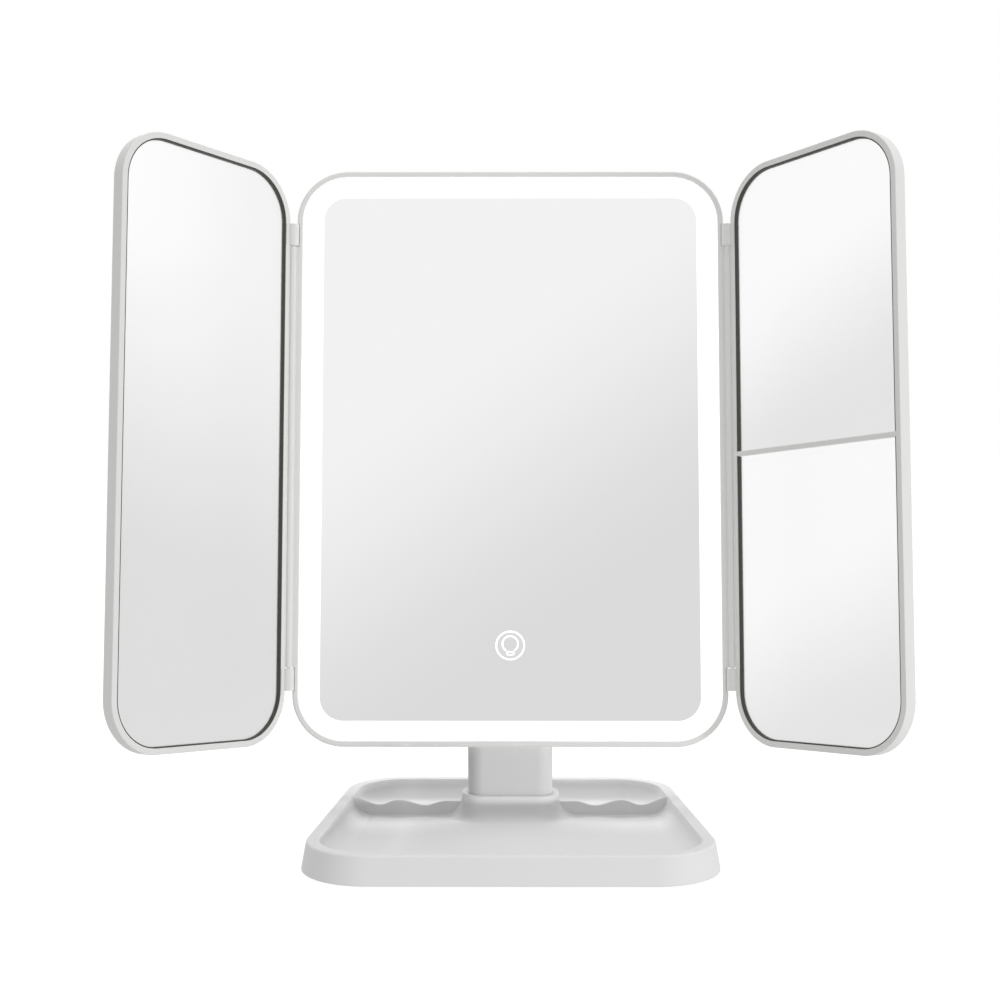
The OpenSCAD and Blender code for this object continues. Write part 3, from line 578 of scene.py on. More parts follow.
class Solid:
    """A closed mesh drawn in its sub-assembly's own millimetres."""

    def __init__(self) -> None:
        """Start with nothing drawn."""
        self.mesh = bmesh.new()

    def _face(self, verts: Sequence[bmesh.types.BMVert], smooth: bool = True) -> None:
        """Add one face from its corners."""
        self.mesh.faces.new(verts).smooth = smooth

    def rows(self, rows: list[list[Vector]], ring: bool, caps: bool = True, loop: bool = True) -> "Solid":
        """Skin a list of equal rows of points.

        Args:
            rows: the points, one row for each section.
            ring: whether each row closes on itself.
            caps: whether an open pair of ends gets flat faces.
            loop: whether the last row joins the first.

        Returns:
            This solid.
        """
        made = [[self.mesh.verts.new(p) for p in row] for row in rows]
        pairs = list(zip(made, made[1:] + made[:1], strict=True))
        for this, after in pairs if loop else pairs[:-1]:
            for j in range(len(this) if ring else len(this) - 1):
                k = (j + 1) % len(this)
                self._face((this[j], after[j], after[k], this[k]))
        if caps and loop and not ring:
            self._face([row[0] for row in made], smooth=False)
            self._face([row[-1] for row in reversed(made)], smooth=False)
        if caps and not loop:
            self._face(made[0], smooth=False)
            self._face(list(reversed(made[-1])), smooth=False)
        return self

    def sweep(self, outline: Outline, section: Sequence[tuple[float, float]], ring: bool) -> "Solid":
        """Sweep a section round an outline.

        Args:
            outline: the path; its radius is where the section's out is 0.
            section: out and height of each point.
            ring: true for a closed section, false for a plate that gets flat caps.

        Returns:
            This solid.
        """
        rows = []
        for centre, normal in outline.samples():
            row = []
            for out, height in section:
                spot = centre + normal * (outline.radius + out)
                row.append(Vector((spot.x, spot.y, height)))
            rows.append(row)
        return self.rows(rows, ring)

    def plate(self, outline: Outline, low: float, high: float, soft_low: float = 0.0,
              soft_high: float = 0.0, inset: float = 0.0) -> "Solid":
        """Add a plate on an outline, with rounded edges.

        Args:
            outline: the plate's shape.
            low: where it starts.
            high: where it ends.
            soft_low: radius of the edge at the start.
            soft_high: radius of the edge at the end.
            inset: how far the plate is drawn in.

        Returns:
            This solid.
        """
        deep = -inset - max(soft_low, soft_high, 0.2) - 0.8
        section = soften([(deep, low, 0), (-inset, low, soft_low), (-inset, high, soft_high),
                          (deep, high, 0)], closed=False)
        return self.sweep(outline, section, ring=False)

    def box(self, low: Sequence[float], high: Sequence[float], soft: float = 0.0) -> "Solid":
        """Add a box between two corners, its edges rounded by a bevel when soft is not 0."""
        middle = (Vector(low) + Vector(high)) / 2
        size = Vector(high) - Vector(low)
        place = Matrix.Translation(middle) @ Matrix.Diagonal((*size, 1.0))
        made = bmesh.ops.create_cube(self.mesh, size=1.0, matrix=place)
        if soft:
            edges = list({e for v in made["verts"] for e in v.link_edges})
            bevelled = bmesh.ops.bevel(self.mesh, geom=edges, offset=soft, segments=3, profile=0.5,
                                       affect="EDGES")
            for face in bevelled["faces"]:
                face.smooth = True
        return self

    def rod(self, start: Sequence[float], end: Sequence[float], radius: float, sides: int = 40,
            soft: float = 0.0) -> "Solid":
        """Add a round rod from one point to another, its ends chamfered by soft."""
        start, end = Vector(start), Vector(end)
        along = end - start
        turn = along.to_track_quat("Z", "Y").to_matrix()
        levels = [(soft, radius), (along.length - soft, radius)]
        if soft:
            levels = [(0.0, radius - soft), *levels, (along.length, radius - soft)]
        angles = [2 * math.pi * k / sides for k in range(sides)]
        rows = [[start + turn @ Vector((r * math.cos(a), r * math.sin(a), z)) for a in angles]
                for z, r in levels]
        return self.rows(rows, ring=True, loop=False)

    def clean(self) -> "Solid":
        """Merge doubles and turn the faces outwards."""
        bmesh.ops.remove_doubles(self.mesh, verts=self.mesh.verts, dist=1e-4)
        bmesh.ops.recalc_face_normals(self.mesh, faces=self.mesh.faces)
        return self

    def draft(self) -> bpy.types.Object:
        """Return a throwaway object that holds this solid."""
        return object_of(self.clean().mesh, "draft")

    def take_up(self, holder: bpy.types.Object) -> None:
        """Replace this solid's mesh by an object's, with the object's modifiers applied."""
        result = bpy.data.meshes.new_from_object(
            holder.evaluated_get(bpy.context.evaluated_depsgraph_get()))
        self.mesh.clear()
        self.mesh.from_mesh(result)
        bpy.data.meshes.remove(result)

    def join(self, other: "Solid", how: Join) -> "Solid":
        """Unite with, or cut by, another solid.

        Args:
            other: the second solid.
            how: whether it adds or takes away.

        Returns:
            This solid.
        """
        holder, tool = self.draft(), other.draft()
        change = holder.modifiers.new("join", "BOOLEAN")
        change.operation, change.solver, change.object = how.value, "EXACT", tool
        self.take_up(holder)
        for thing in (holder, tool):
            bpy.data.objects.remove(thing)
        return self

    def unite(self, other: "Solid") -> "Solid":
        """Unite with another solid."""
        return self.join(other, Join.UNITE)

    def cut(self, other: "Solid") -> "Solid":
        """Take another solid away from this one."""
        return self.join(other, Join.CUT)


def settle(piece: bpy.types.Object, body: str, finish: Finish | SilveredGlass,
           replaces: Sequence[str] = ()) -> None:
    """Dress a finished piece and hang it on its body.

    Args:
        piece: the object, its mesh already in the shared frame.
        body: the body it rides on.
        finish: its finish.
        replaces: the frame's nodes it stands for.
    """
    piece.data.materials.clear()
    piece.data.materials.append(material_of(finish))
    piece.data.set_sharp_from_angle(angle=math.radians(CREASE))
    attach(piece, body)
    if replaces:
        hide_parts(*replaces)
    log.info("%s: %d faces on %s", piece.name, len(piece.data.polygons), body)


def place_solid(solid: Solid, name: str, place: Matrix) -> bpy.types.Object:
    """Turn a solid into an object in the shared frame.

    Args:
        solid: what was drawn.
        name: the piece's name.
        place: from the sub-assembly's millimetres to the shared frame's metres.

    Returns:
        The object, at the origin, unturned and unscaled.
    """
    solid.clean()
    solid.mesh.transform(place)
    bmesh.ops.recalc_face_normals(solid.mesh, faces=solid.mesh.faces)
    piece = object_of(solid.mesh, name)
    solid.mesh.free()
    return piece


# ---- repeated pieces by Geometry Nodes ----

class NodeKit:
    """A geometry tree with named inputs, run on a mesh of points and then baked to a plain mesh."""

    def __init__(self, name: str, sizes: dict[str, float], finish: Finish) -> None:
        """Start the tree with a geometry input and one number input for each size."""
        self.tree = bpy.data.node_groups.new(name, "GeometryNodeTree")
        face = self.tree.interface
        face.new_socket("Geometry", in_out="INPUT", socket_type="NodeSocketGeometry")
        self.keys = {key: face.new_socket(key, in_out="INPUT", socket_type="NodeSocketFloat").identifier
                     for key in sizes}
        face.new_socket("Geometry", in_out="OUTPUT", socket_type="NodeSocketGeometry")
        self.sizes, self.finish = sizes, finish
        self.inputs = add_node(self.tree, "NodeGroupInput").outputs

    def number(self, operation: str, *values: float | Socket) -> Socket:
        """Return the result of a Math node in this tree."""
        return math_node(self.tree, operation, *values)

    def vector(self, x: object = 0.0, y: object = 0.0, z: object = 0.0) -> Socket:
        """Return a vector made of numbers or sockets."""
        numbers, feeds = split_inputs((x, y, z))
        return add_node(self.tree, "ShaderNodeCombineXYZ", numbers, feeds).outputs[0]

    def moved(self, geometry: Socket, offset: Socket,
              turn: tuple[float, float, float] = (0.0, 0.0, 0.0)) -> Socket:
        """Return geometry moved by an offset and turned."""
        return add_node(self.tree, "GeometryNodeTransform", {"Rotation": Euler(turn)},
                        {"Geometry": geometry, "Translation": offset}).outputs[0]

    def cylinder(self, sides: int, radius: Socket, depth: Socket) -> Socket:
        """Return an upright cylinder about the origin."""
        return add_node(self.tree, "GeometryNodeMeshCylinder", {"Vertices": sides},
                        {"Radius": radius, "Depth": depth}).outputs[0]

    def cone(self, sides: int, low: Socket, high: Socket, depth: Socket) -> Socket:
        """Return an upright cone that stands on the origin, from its low radius to its high one."""
        return add_node(self.tree, "GeometryNodeMeshCone", {"Vertices": sides},
                        {"Radius Top": high, "Radius Bottom": low, "Depth": depth}).outputs[0]

    def fuse(self, *parts: Socket) -> Socket:
        """Return several meshes united in one."""
        whole = add_node(self.tree, "GeometryNodeMeshBoolean", {"operation": "UNION", "solver": "EXACT"})
        for part in parts:
            self.tree.links.new(part, whole.inputs["Mesh 2"])
        return whole.outputs[0]

    def carve(self, body: Socket, *tools: Socket) -> Socket:
        """Return a mesh with others cut away from it."""
        left = add_node(self.tree, "GeometryNodeMeshBoolean",
                        {"operation": "DIFFERENCE", "solver": "EXACT"}, {"Mesh 1": body})
        for tool in tools:
            self.tree.links.new(tool, left.inputs["Mesh 2"])
        return left.outputs[0]

    def finish_on_points(self, part: Socket) -> None:
        """Put the part on every point, realise it, give it its finish and end the tree."""
        spread = add_node(self.tree, "GeometryNodeInstanceOnPoints",
                          links={"Points": self.inputs["Geometry"], "Instance": part})
        real = add_node(self.tree, "GeometryNodeRealizeInstances", links={"Geometry": spread.outputs[0]})
        dressed = add_node(self.tree, "GeometryNodeSetMaterial", {"Material": material_of(self.finish)},
                           {"Geometry": real.outputs[0]})
        add_node(self.tree, "NodeGroupOutput", links={0: dressed.outputs[0]})

    def run(self, name: str, points: Sequence[Sequence[float]], place: Matrix) -> bpy.types.Object:
        """Run the tree on some points and return a plain mesh object in the shared frame.

        Args:
            name: the piece's name.
            points: where each copy stands, in the sub-assembly's millimetres.
            place: from those millimetres to the shared frame's metres.

        Returns:
            The piece.
        """
        data = bpy.data.meshes.new("points")
        data.from_pydata([tuple(p) for p in points], [], [])
        holder = add_object("points", data)
        change = holder.modifiers.new("repeat", "NODES")
        change.node_group = self.tree
        for key, value in self.sizes.items():
            change[self.keys[key]] = value
        solid = Solid()
        solid.take_up(holder)
        holder.modifiers.remove(change)
        bpy.data.objects.remove(holder)
        return place_solid(solid, name, place)


def cross_screws(name: str, radius: float, height: float, shank: float, length: float) -> NodeKit:
    """Return the tree of a cross-recessed screw, its head's top at each point and its shank below.

    Args:
        name: the tree's name.
        radius: the head's radius.
        height: the head's height.
        shank: the shank's radius.
        length: the shank's length under the head.

    Returns:
        The tree, ready to run.
    """
    kit = NodeKit(name, {"Head radius": radius, "Head height": height, "Shank radius": shank,
                         "Shank length": length, "Slot width": radius * 0.26, "Slot depth": height * 0.6},
                  Finish.STEEL)
    take = kit.inputs
    crown = kit.number("MULTIPLY", take["Head height"], 0.35)
    barrel = kit.number("MULTIPLY", take["Head height"], 0.65)
    sink = kit.number("ADD", take["Shank length"], take["Head height"])
    top = kit.cone(28, take["Head radius"], kit.number("MULTIPLY", take["Head radius"], 0.72), crown)
    base = kit.cylinder(28, take["Head radius"], barrel)
    stem = kit.cylinder(20, take["Shank radius"], sink)
    base_z = kit.number("SUBTRACT", kit.number("MULTIPLY", barrel, -0.5), crown)
    stem_z = kit.number("SUBTRACT", kit.number("MULTIPLY", sink, -0.5),
                        kit.number("MULTIPLY", take["Head height"], 0.7))
    body = kit.fuse(kit.moved(top, kit.vector(z=kit.number("MULTIPLY", crown, -1.0))),
                    kit.moved(base, kit.vector(z=base_z)), kit.moved(stem, kit.vector(z=stem_z)))
    wide = kit.number("MULTIPLY", take["Head radius"], 1.15)
    deep = kit.number("MULTIPLY", take["Slot depth"], 2.0)
    sizes = (kit.vector(wide, take["Slot width"], deep), kit.vector(take["Slot width"], wide, deep))
    arms = [add_node(kit.tree, "GeometryNodeMeshCube", links={"Size": size}).outputs[0] for size in sizes]
    kit.finish_on_points(kit.carve(body, *arms))
    return kit


def soft_feet(radius: float, height: float) -> NodeKit:
    """Return the tree of a round foot with a chamfered rim and a dimple, standing up from each point."""
    kit = NodeKit("Rubber feet", {"Radius": radius, "Height": height, "Dimple": radius * 0.6},
                  Finish.RUBBER)
    take = kit.inputs
    flat = kit.number("MULTIPLY", take["Height"], 0.7)
    rim = kit.number("MULTIPLY", take["Height"], 0.3)
    edge = kit.cone(48, kit.number("SUBTRACT", take["Radius"], rim), take["Radius"], rim)
    lift = kit.vector(z=kit.number("ADD", rim, kit.number("MULTIPLY", flat, 0.5)))
    pad = kit.moved(kit.cylinder(48, take["Radius"], flat), lift)
    kit.finish_on_points(kit.carve(kit.fuse(pad, edge), kit.cylinder(32, take["Dimple"], rim)))
    return kit


def thumb_ridges(length: float, radius: float) -> NodeKit:
    """Return the tree of a round-ended ridge that lies across at each point."""
    kit = NodeKit("Thumb ridges", {"Length": length, "Radius": radius}, Finish.SHELL)
    take = kit.inputs
    bar = kit.cylinder(20, take["Radius"], take["Length"])
    parts = [kit.moved(bar, kit.vector(), (0.0, math.pi / 2, 0.0))]
    # The round ends are a hair slimmer than the bar, so that the two share no face
    slim = kit.number("MULTIPLY", take["Radius"], 0.999)
    for side in (-0.5, 0.5):
        ball = add_node(kit.tree, "GeometryNodeMeshUVSphere", {"Segments": 20, "Rings": 12},
                        {"Radius": slim}).outputs[0]
        parts.append(kit.moved(ball, kit.vector(kit.number("MULTIPLY", take["Length"], side))))
    kit.finish_on_points(kit.fuse(*parts))
    return kit


# ---- frames of the moving groups ----

@dataclass(frozen=True)
class HeadFrame:
    """The centre panel's own frame: x across, y up the panel from its lower edge, z back from its front."""

    tilt: float = 6.2
    front_y: float = 19.0
    low_z: float = 34.6

    def place(self) -> Matrix:
        """Return the way from the panel's millimetres to the shared frame's metres."""
        c, s = math.cos(math.radians(self.tilt)), math.sin(math.radians(self.tilt))
        return Matrix.Diagonal((MM, MM, MM, 1.0)) @ Matrix(
            ((1, 0, 0, 0), (0, s, c, self.front_y), (0, c, -s, self.low_z), (0, 0, 0, 1)))


TABLE = Matrix.Diagonal((MM, MM, MM, 1.0))
HEAD = HeadFrame().place()


# ---- sub-assemblies ----

@dataclass
class WeightedTray:
    """The organiser tray: flared wall, scooped dish, wavy divider and the collar that holds the column.

    column holds the column's width, depth, corner radius and the y of its middle. wave holds the divider's
    height at each share of its run.
    """

    half_front: float = 52.455
    half_back: float = 45.765
    half_deep: float = 42.5
    corner: float = 25.0
    rim_z: float = 11.8
    rim: float = 4.8
    lip: float = 1.6
    rim_t: float = 2.0
    wall_t: float = 1.8
    flare: float = 2.0
    foot_z: float = 0.8
    under_z: float = 2.2
    floor_z: float = 3.8
    scoop: float = 9.0
    sunk: float = 0.4
    divider_y: float = 29.0
    divider_t: float = 1.6
    divider_soft: float = 0.5
    column: tuple[float, float, float, float] = (36.0, 16.0, 6.5, 31.5)
    column_top: float = 34.93
    column_wall: float = 2.2
    collar_z: float = 13.3
    collar_wall: float = 2.6
    collar_foot: float = 8.5
    fit: float = 0.15
    bolt_x: float = 10.0
    bolt_hole_r: float = 1.7
    neck_drop: float = 7.0
    neck_hole_r: float = 1.2
    screw_head_h: float = 1.1
    foot_r: float = 6.0
    foot_h: float = 0.9
    boss_in: float = 3.2
    wave: tuple[tuple[float, float], ...] = (
        (0.0, 9.64), (0.21, 7.8), (0.5, 10.2), (0.71, 8.1), (1.0, 11.5))

    def lean(self) -> float:
        """Return how far each side leans in towards the back, in radians."""
        return math.atan2(self.half_front - self.half_back, 2 * self.half_deep)

    def outline(self) -> Outline:
        """Return the tray's tapered outline, its radius at the outer edge of the rim."""
        lean = math.degrees(self.lean())
        corners = ((self.half_front, -self.half_deep, -90, lean),
                   (self.half_back, self.half_deep, lean, 90),
                   (-self.half_back, self.half_deep, 90, 180 - lean),
                   (-self.half_front, -self.half_deep, 180 - lean, 270))
        return Outline(corners, self.corner, steps=26, guard=1.0)

    def scoop_curve(self, start: float, reach: float, top: float, low: float, steps: int
                    ) -> list[tuple[float, float]]:
        """Return a quarter of an ellipse that falls from a wall and runs out level on the floor.

        Args:
            start: out at the wall.
            reach: how far it spreads, negative inwards.
            top: height where it leaves the wall.
            low: height where it lies flat.
            steps: facets.

        Returns:
            Points from the wall to the floor.
        """
        return [(start + reach * (1 - math.cos(math.pi / 2 * k / steps)),
                 top - (top - low) * math.sin(math.pi / 2 * k / steps)) for k in range(steps + 1)]

    def bowl(self) -> Solid:
        """Draw the tray without its divider and collar."""
        inner, below = -self.rim, self.rim_z - self.rim_t
        dish_top = self.rim_z - self.lip
        outer = soften([(inner - self.sunk, dish_top, 0), (inner, self.rim_z, 0.5), (0.0, self.rim_z, 0.9),
                        (self.flare, self.foot_z, 0.4), (self.flare - self.wall_t, self.foot_z, 0.3),
                        (-1.9, below, 0.5), (inner + 0.7, below, 0.5),
                        (inner + 0.7, self.under_z, 0), (inner - 6, self.under_z, 0)], closed=False)
        dish = self.scoop_curve(inner - self.sunk, -(self.scoop - self.sunk), dish_top, self.floor_z, 14)
        floor = [(dish[-1][0] - 1.0, self.floor_z)]
        section = floor + list(reversed(dish))[:-1] + outer
        return Solid().sweep(self.outline(), section, ring=False)

    def collar(self) -> Solid:
        """Draw the collar, its flare running out level on the tray's floor."""
        w, d, r, y = self.column
        grow = self.collar_wall + self.fit
        path = rounded_outline(w + 2 * grow, d + 2 * grow, r + grow, (0.0, y), steps=16)
        foot, flare_top = self.floor_z - 0.5, self.collar_z - self.lip
        flare = self.scoop_curve(0.0, self.collar_foot, flare_top, self.floor_z - 0.04, 16)
        lip = soften([(-self.collar_wall, foot, 0), (-self.collar_wall, self.collar_z, 0.5),
                      (0.0, self.collar_z, 0.8), (0.0, flare_top, 0)], closed=False)
        return Solid().sweep(path, lip[:-1] + flare + [(self.collar_foot, foot)], ring=True)

    def divider(self, side: int) -> Solid:
        """Draw one half of the divider.

        Args:
            side: 1 for the right half, -1 for the left.

        Returns:
            The solid, its ends sunk in the collar and in the wall.
        """
        edge = self.column[0] / 2 + self.fit
        wave_start = self.column[0] / 2 + self.collar_wall + self.fit + 7
        end = (self.half_front - (self.divider_y + self.half_deep) * math.tan(self.lean()) + self.corner
               - self.rim + 0.25)
        run = end - wave_start
        spots = [edge + 1.2, wave_start - 3] + [wave_start + run * k / 64 for k in range(65)] + [end + 1.5]
        half, soft, fillet_z = self.divider_t / 2, self.divider_soft, self.floor_z - 0.02
        rows = []
        for x in spots:
            top = self.wave_height(min(1.0, max(0.0, (x - wave_start) / run)))
            # Half of the upright's section: sunk foot, fillet on the floor, rounded top edge
            profile = [(half + soft, self.floor_z - self.sunk)]
            profile += [(half + soft * (1 - math.sin(math.pi / 2 * k / 4)),
                         fillet_z + soft * (1 - math.cos(math.pi / 2 * k / 4))) for k in range(5)]
            profile += [(half - soft + soft * math.cos(math.pi / 2 * k / 5),
                         top - soft + soft * math.sin(math.pi / 2 * k / 5)) for k in range(6)]
            back = [(-o, h) for o, h in reversed(profile)]
            rows.append([Vector((side * x, self.divider_y + o, h)) for o, h in profile + back])
        return Solid().rows(rows, ring=True, loop=False)

    def wave_height(self, share: float) -> float:
        """Return the divider's height, eased between its named crests and dips."""
        for (a, low), (b, high) in zip(self.wave, self.wave[1:]):
            if share <= b:
                return low + (high - low) * (1 - math.cos(math.pi * (share - a) / (b - a))) / 2
        return self.wave[-1][1]

    def shell(self) -> Solid:
        """Draw bowl, collar and divider as one moulding, with the column's pocket and its bolt holes."""
        w, d, r, y = self.column
        solid = self.bowl().unite(self.collar())
        for side in (-1, 1):
            solid.unite(self.divider(side))
        pocket = rounded_outline(w + 2 * self.fit, d + 2 * self.fit, r + self.fit, (0.0, y), 16)
        solid.cut(Solid().plate(pocket, self.floor_z - self.sunk, 30.0))
        for x in (-self.bolt_x, self.bolt_x):
            solid.cut(Solid().rod((x, y, 0.0), (x, y, 20.0), self.bolt_hole_r, 24))
        return solid

    def post(self) -> Solid:
        """Draw the column: an oval tube with two holes for the neck screws in its back."""
        w, d, r, y = self.column
        low, neck_z = self.floor_z - self.sunk, self.column_top - self.neck_drop
        section = soften([(0.0, low, 0.1), (0.0, self.column_top, 0.5),
                          (-self.column_wall, self.column_top, 0.3), (-self.column_wall, low, 0.1)])
        solid = Solid().sweep(rounded_outline(w, d, r, (0.0, y), steps=18), section, ring=True)
        for x in (-self.bolt_x, self.bolt_x):
            solid.cut(Solid().rod((x, y, neck_z), (x, y + d, neck_z), self.neck_hole_r, 20))
        return solid

    def corner_spots(self, reach: float, height: float) -> list[tuple[float, float, float]]:
        """Return a point near each corner's centre, moved outwards by reach both ways."""
        return [(sx * (half + reach), sy * (self.half_deep + reach), height)
                for sx in (-1, 1) for half, sy in ((self.half_front, -1), (self.half_back, 1))]

    def build(self) -> None:
        """Build and dress every piece that stays on the table."""
        settle(place_solid(self.shell(), "tray", TABLE), "base", Finish.STAND, ["tray_shell"])
        settle(place_solid(self.post(), "column", TABLE), "base", Finish.STAND, ["column_shell"])
        feet = self.corner_spots(0.0, 0.0)
        settle(soft_feet(self.foot_r, self.foot_h).run("rubber_feet_moulded", feet, TABLE), "base",
               Finish.RUBBER, ["rubber_feet"])

        # The trees draw screws head up, so each set is drawn in axes turned to face its heads out
        head = self.screw_head_h
        reach = (self.corner - self.boss_in) * math.cos(math.radians(45))
        spots = [(x, -y, -z) for x, y, z in self.corner_spots(reach, self.foot_h)]
        under = TABLE @ Matrix.Rotation(math.pi, 4, "X")
        settle(cross_screws("Ballast screws", 2.1, head, 0.95, 6.0).run("ballast_screw_set", spots, under),
               "base", Finish.STEEL, ["ballast_screws"])
        back_y = self.column[3] + self.column[1] / 2 + head
        spots = [(x, -(self.column_top - self.neck_drop), back_y) for x in (-self.bolt_x, self.bolt_x)]
        lying = TABLE @ Matrix.Rotation(-math.pi / 2, 4, "X")
        settle(cross_screws("Neck screws", 2.0, head, 0.95, 6.0).run("neck_screw_set", spots, lying),
               "base", Finish.STEEL, ["neck_screws"])


@dataclass
class CentrePanel:
    """The lit panel: a deep frame, one pane with a frosted border, and the touch symbol on it.

    glass holds the depths of the pane's front and back, silver the mirror's width and height inside the
    border, and knuckle the radius and height of a wing's knuckle.
    """

    width: float = 184.0
    height: float = 247.0
    corner: float = 22.0
    depth: float = 13.0
    rim: float = 2.4
    fit: float = 0.15
    glass: tuple[float, float] = (1.0, 3.0)
    polish: float = 0.25
    silver: tuple[float, float] = (161.2, 224.9)
    silver_corner: float = 10.0
    silver_low: float = 10.7
    touch_z: float = 42.5
    ring_r: float = 5.9
    bulb_r: float = 3.3
    bulb_up: float = 0.65
    cap: tuple[float, float, float] = (3.5, 1.7, 0.5)
    cap_down: float = 3.25
    line_half: float = 0.3
    cap_line_half: float = 0.22
    hinge_x: float = 93.55
    hinge_front: float = -0.25
    knuckle: tuple[float, float] = (2.35, 9.4)
    knuckle_inset: float = 23.5
    clear: float = 0.35
    barrel_r: float = 1.4
    pin_hole_r: float = 0.75
    pin_hole_half: float = 8.5
    slot_half: float = 19.0

    def outline(self) -> Outline:
        """Return the panel's outer outline."""
        return rounded_outline(self.width, self.height, self.corner, (0.0, self.height / 2), steps=22)

    def knuckle_spans(self) -> list[tuple[float, float]]:
        """Return the lower and upper end of each knuckle."""
        low = self.knuckle_inset
        return [(low, low + self.knuckle[1]), (self.height - low - self.knuckle[1], self.height - low)]

    def hinge_rod(self, x: float, low: float, high: float, radius: float, sides: int, soft: float = 0.0
                  ) -> Solid:
        """Return a rod along the hinge axis at x."""
        return Solid().rod((x, low, self.hinge_front), (x, high, self.hinge_front), radius, sides, soft)

    def frame(self) -> Solid:
        """Draw the frame with its barrels, knuckle notches and the slot for the column."""
        section = soften([(0.0, 0.0, 0.9), (0.0, self.depth, 0.7), (-self.rim, self.depth, 0.2),
                          (-self.rim, 0.0, 0.35)])
        solid = Solid().sweep(self.outline(), section, ring=True)
        spans = self.knuckle_spans()
        low, high = spans[0][1] + self.clear, spans[1][0] - self.clear
        notch_r = self.knuckle[0] + self.clear
        for side in (-1, 1):
            x = side * self.hinge_x
            web = sorted((side * (self.width / 2 - 0.6), x))
            solid.unite(self.hinge_rod(x, low, high, self.barrel_r, 28, 0.15))
            solid.unite(Solid().box((web[0], low, 0.01), (web[1], high, 1.1)))
            for a, b in spans:
                middle, half = (a + b) / 2, self.pin_hole_half
                solid.cut(self.hinge_rod(x, a - self.clear, b + self.clear, notch_r, 48))
                solid.cut(self.hinge_rod(x, middle - half, middle + half, self.pin_hole_r, 20))
        slot = Solid().box((-self.slot_half, -1.0, 2.1), (self.slot_half, self.rim + 0.1, self.depth + 1))
        return solid.cut(slot)

    def pane(self) -> Solid:
        """Draw the pane with its polished edges."""
        return Solid().plate(self.outline(), *self.glass, self.polish, self.polish, self.rim + self.fit)

    def symbol(self) -> Solid:
        """Draw the touch symbol: a ring, an open bulb and its cap, as thin raised lines."""
        solid = Solid()
        front, back = self.glass[0] - 0.03, self.glass[0] + 0.05

        def stroke(points: list[Vector], closed: bool, half: float) -> None:
            """Add one flat line along some points, half its width to each side."""
            rows = []
            count = len(points)
            for i, p in enumerate(points):
                before = points[i - 1] if closed or i else p
                after = points[(i + 1) % count] if closed or i < count - 1 else p
                run = (after - before).normalized()
                side = Vector((-run.y, run.x)) * half
                a, b = p + side, p - side
                rows.append([Vector((a.x, a.y, front)), Vector((b.x, b.y, front)), Vector((b.x, b.y, back)),
                             Vector((a.x, a.y, back))])
            solid.rows(rows, ring=True, loop=closed, caps=not closed)

        def arc(radius: float, middle: Vector, start: float, end: float, count: int) -> list[Vector]:
            """Return points along an arc, its angles in degrees."""
            return [middle + Vector((math.cos(math.radians(start + (end - start) * k / count)),
                                     math.sin(math.radians(start + (end - start) * k / count)))) * radius
                    for k in range(count + 1)]

        centre = Vector((0.0, self.touch_z))
        stroke(arc(self.ring_r, centre, 0, 360, 72)[:-1], True, self.line_half)
        stroke(arc(self.bulb_r, centre + Vector((0.0, self.bulb_up)), -58, 238, 48), False, self.line_half)
        thin = self.cap_line_half
        cap = rounded_outline(self.cap[0] - 2 * thin, self.cap[1] - 2 * thin, self.cap[2],
                              (0.0, self.touch_z - self.cap_down), steps=6)
        stroke([c + n * cap.radius for c, n in cap.samples()], True, thin)
        return solid

    def build(self) -> None:
        """Build and dress the frame, the pane and the symbol on it."""
        settle(place_solid(self.frame(), "centre_panel_frame", HEAD), "head", Finish.SHELL,
               ["centre_frame"])
        half_across, half_up = self.silver[0] / 2, self.silver[1] / 2
        # The pane's two greys are a painted reflection, eased across it along the step
        silver = SilveredGlass("silvered pane with a frosted lit border", HEAD, "#f2f2f2", "#dbdbdb",
                               PaintedReflectionStep(-0.685, 35.0, 185.0), roughness=0.2,
                               lit_half=(half_across, half_up), lit_radius=self.silver_corner,
                               lit_centre=self.silver_low + half_up, glow=0.8)
        settle(place_solid(self.pane(), "centre_mirror", HEAD), "head", silver, ["centre_mirror_glass"])
        settle(place_solid(self.symbol(), "touch_symbol", HEAD), "head", Finish.SYMBOL, ())


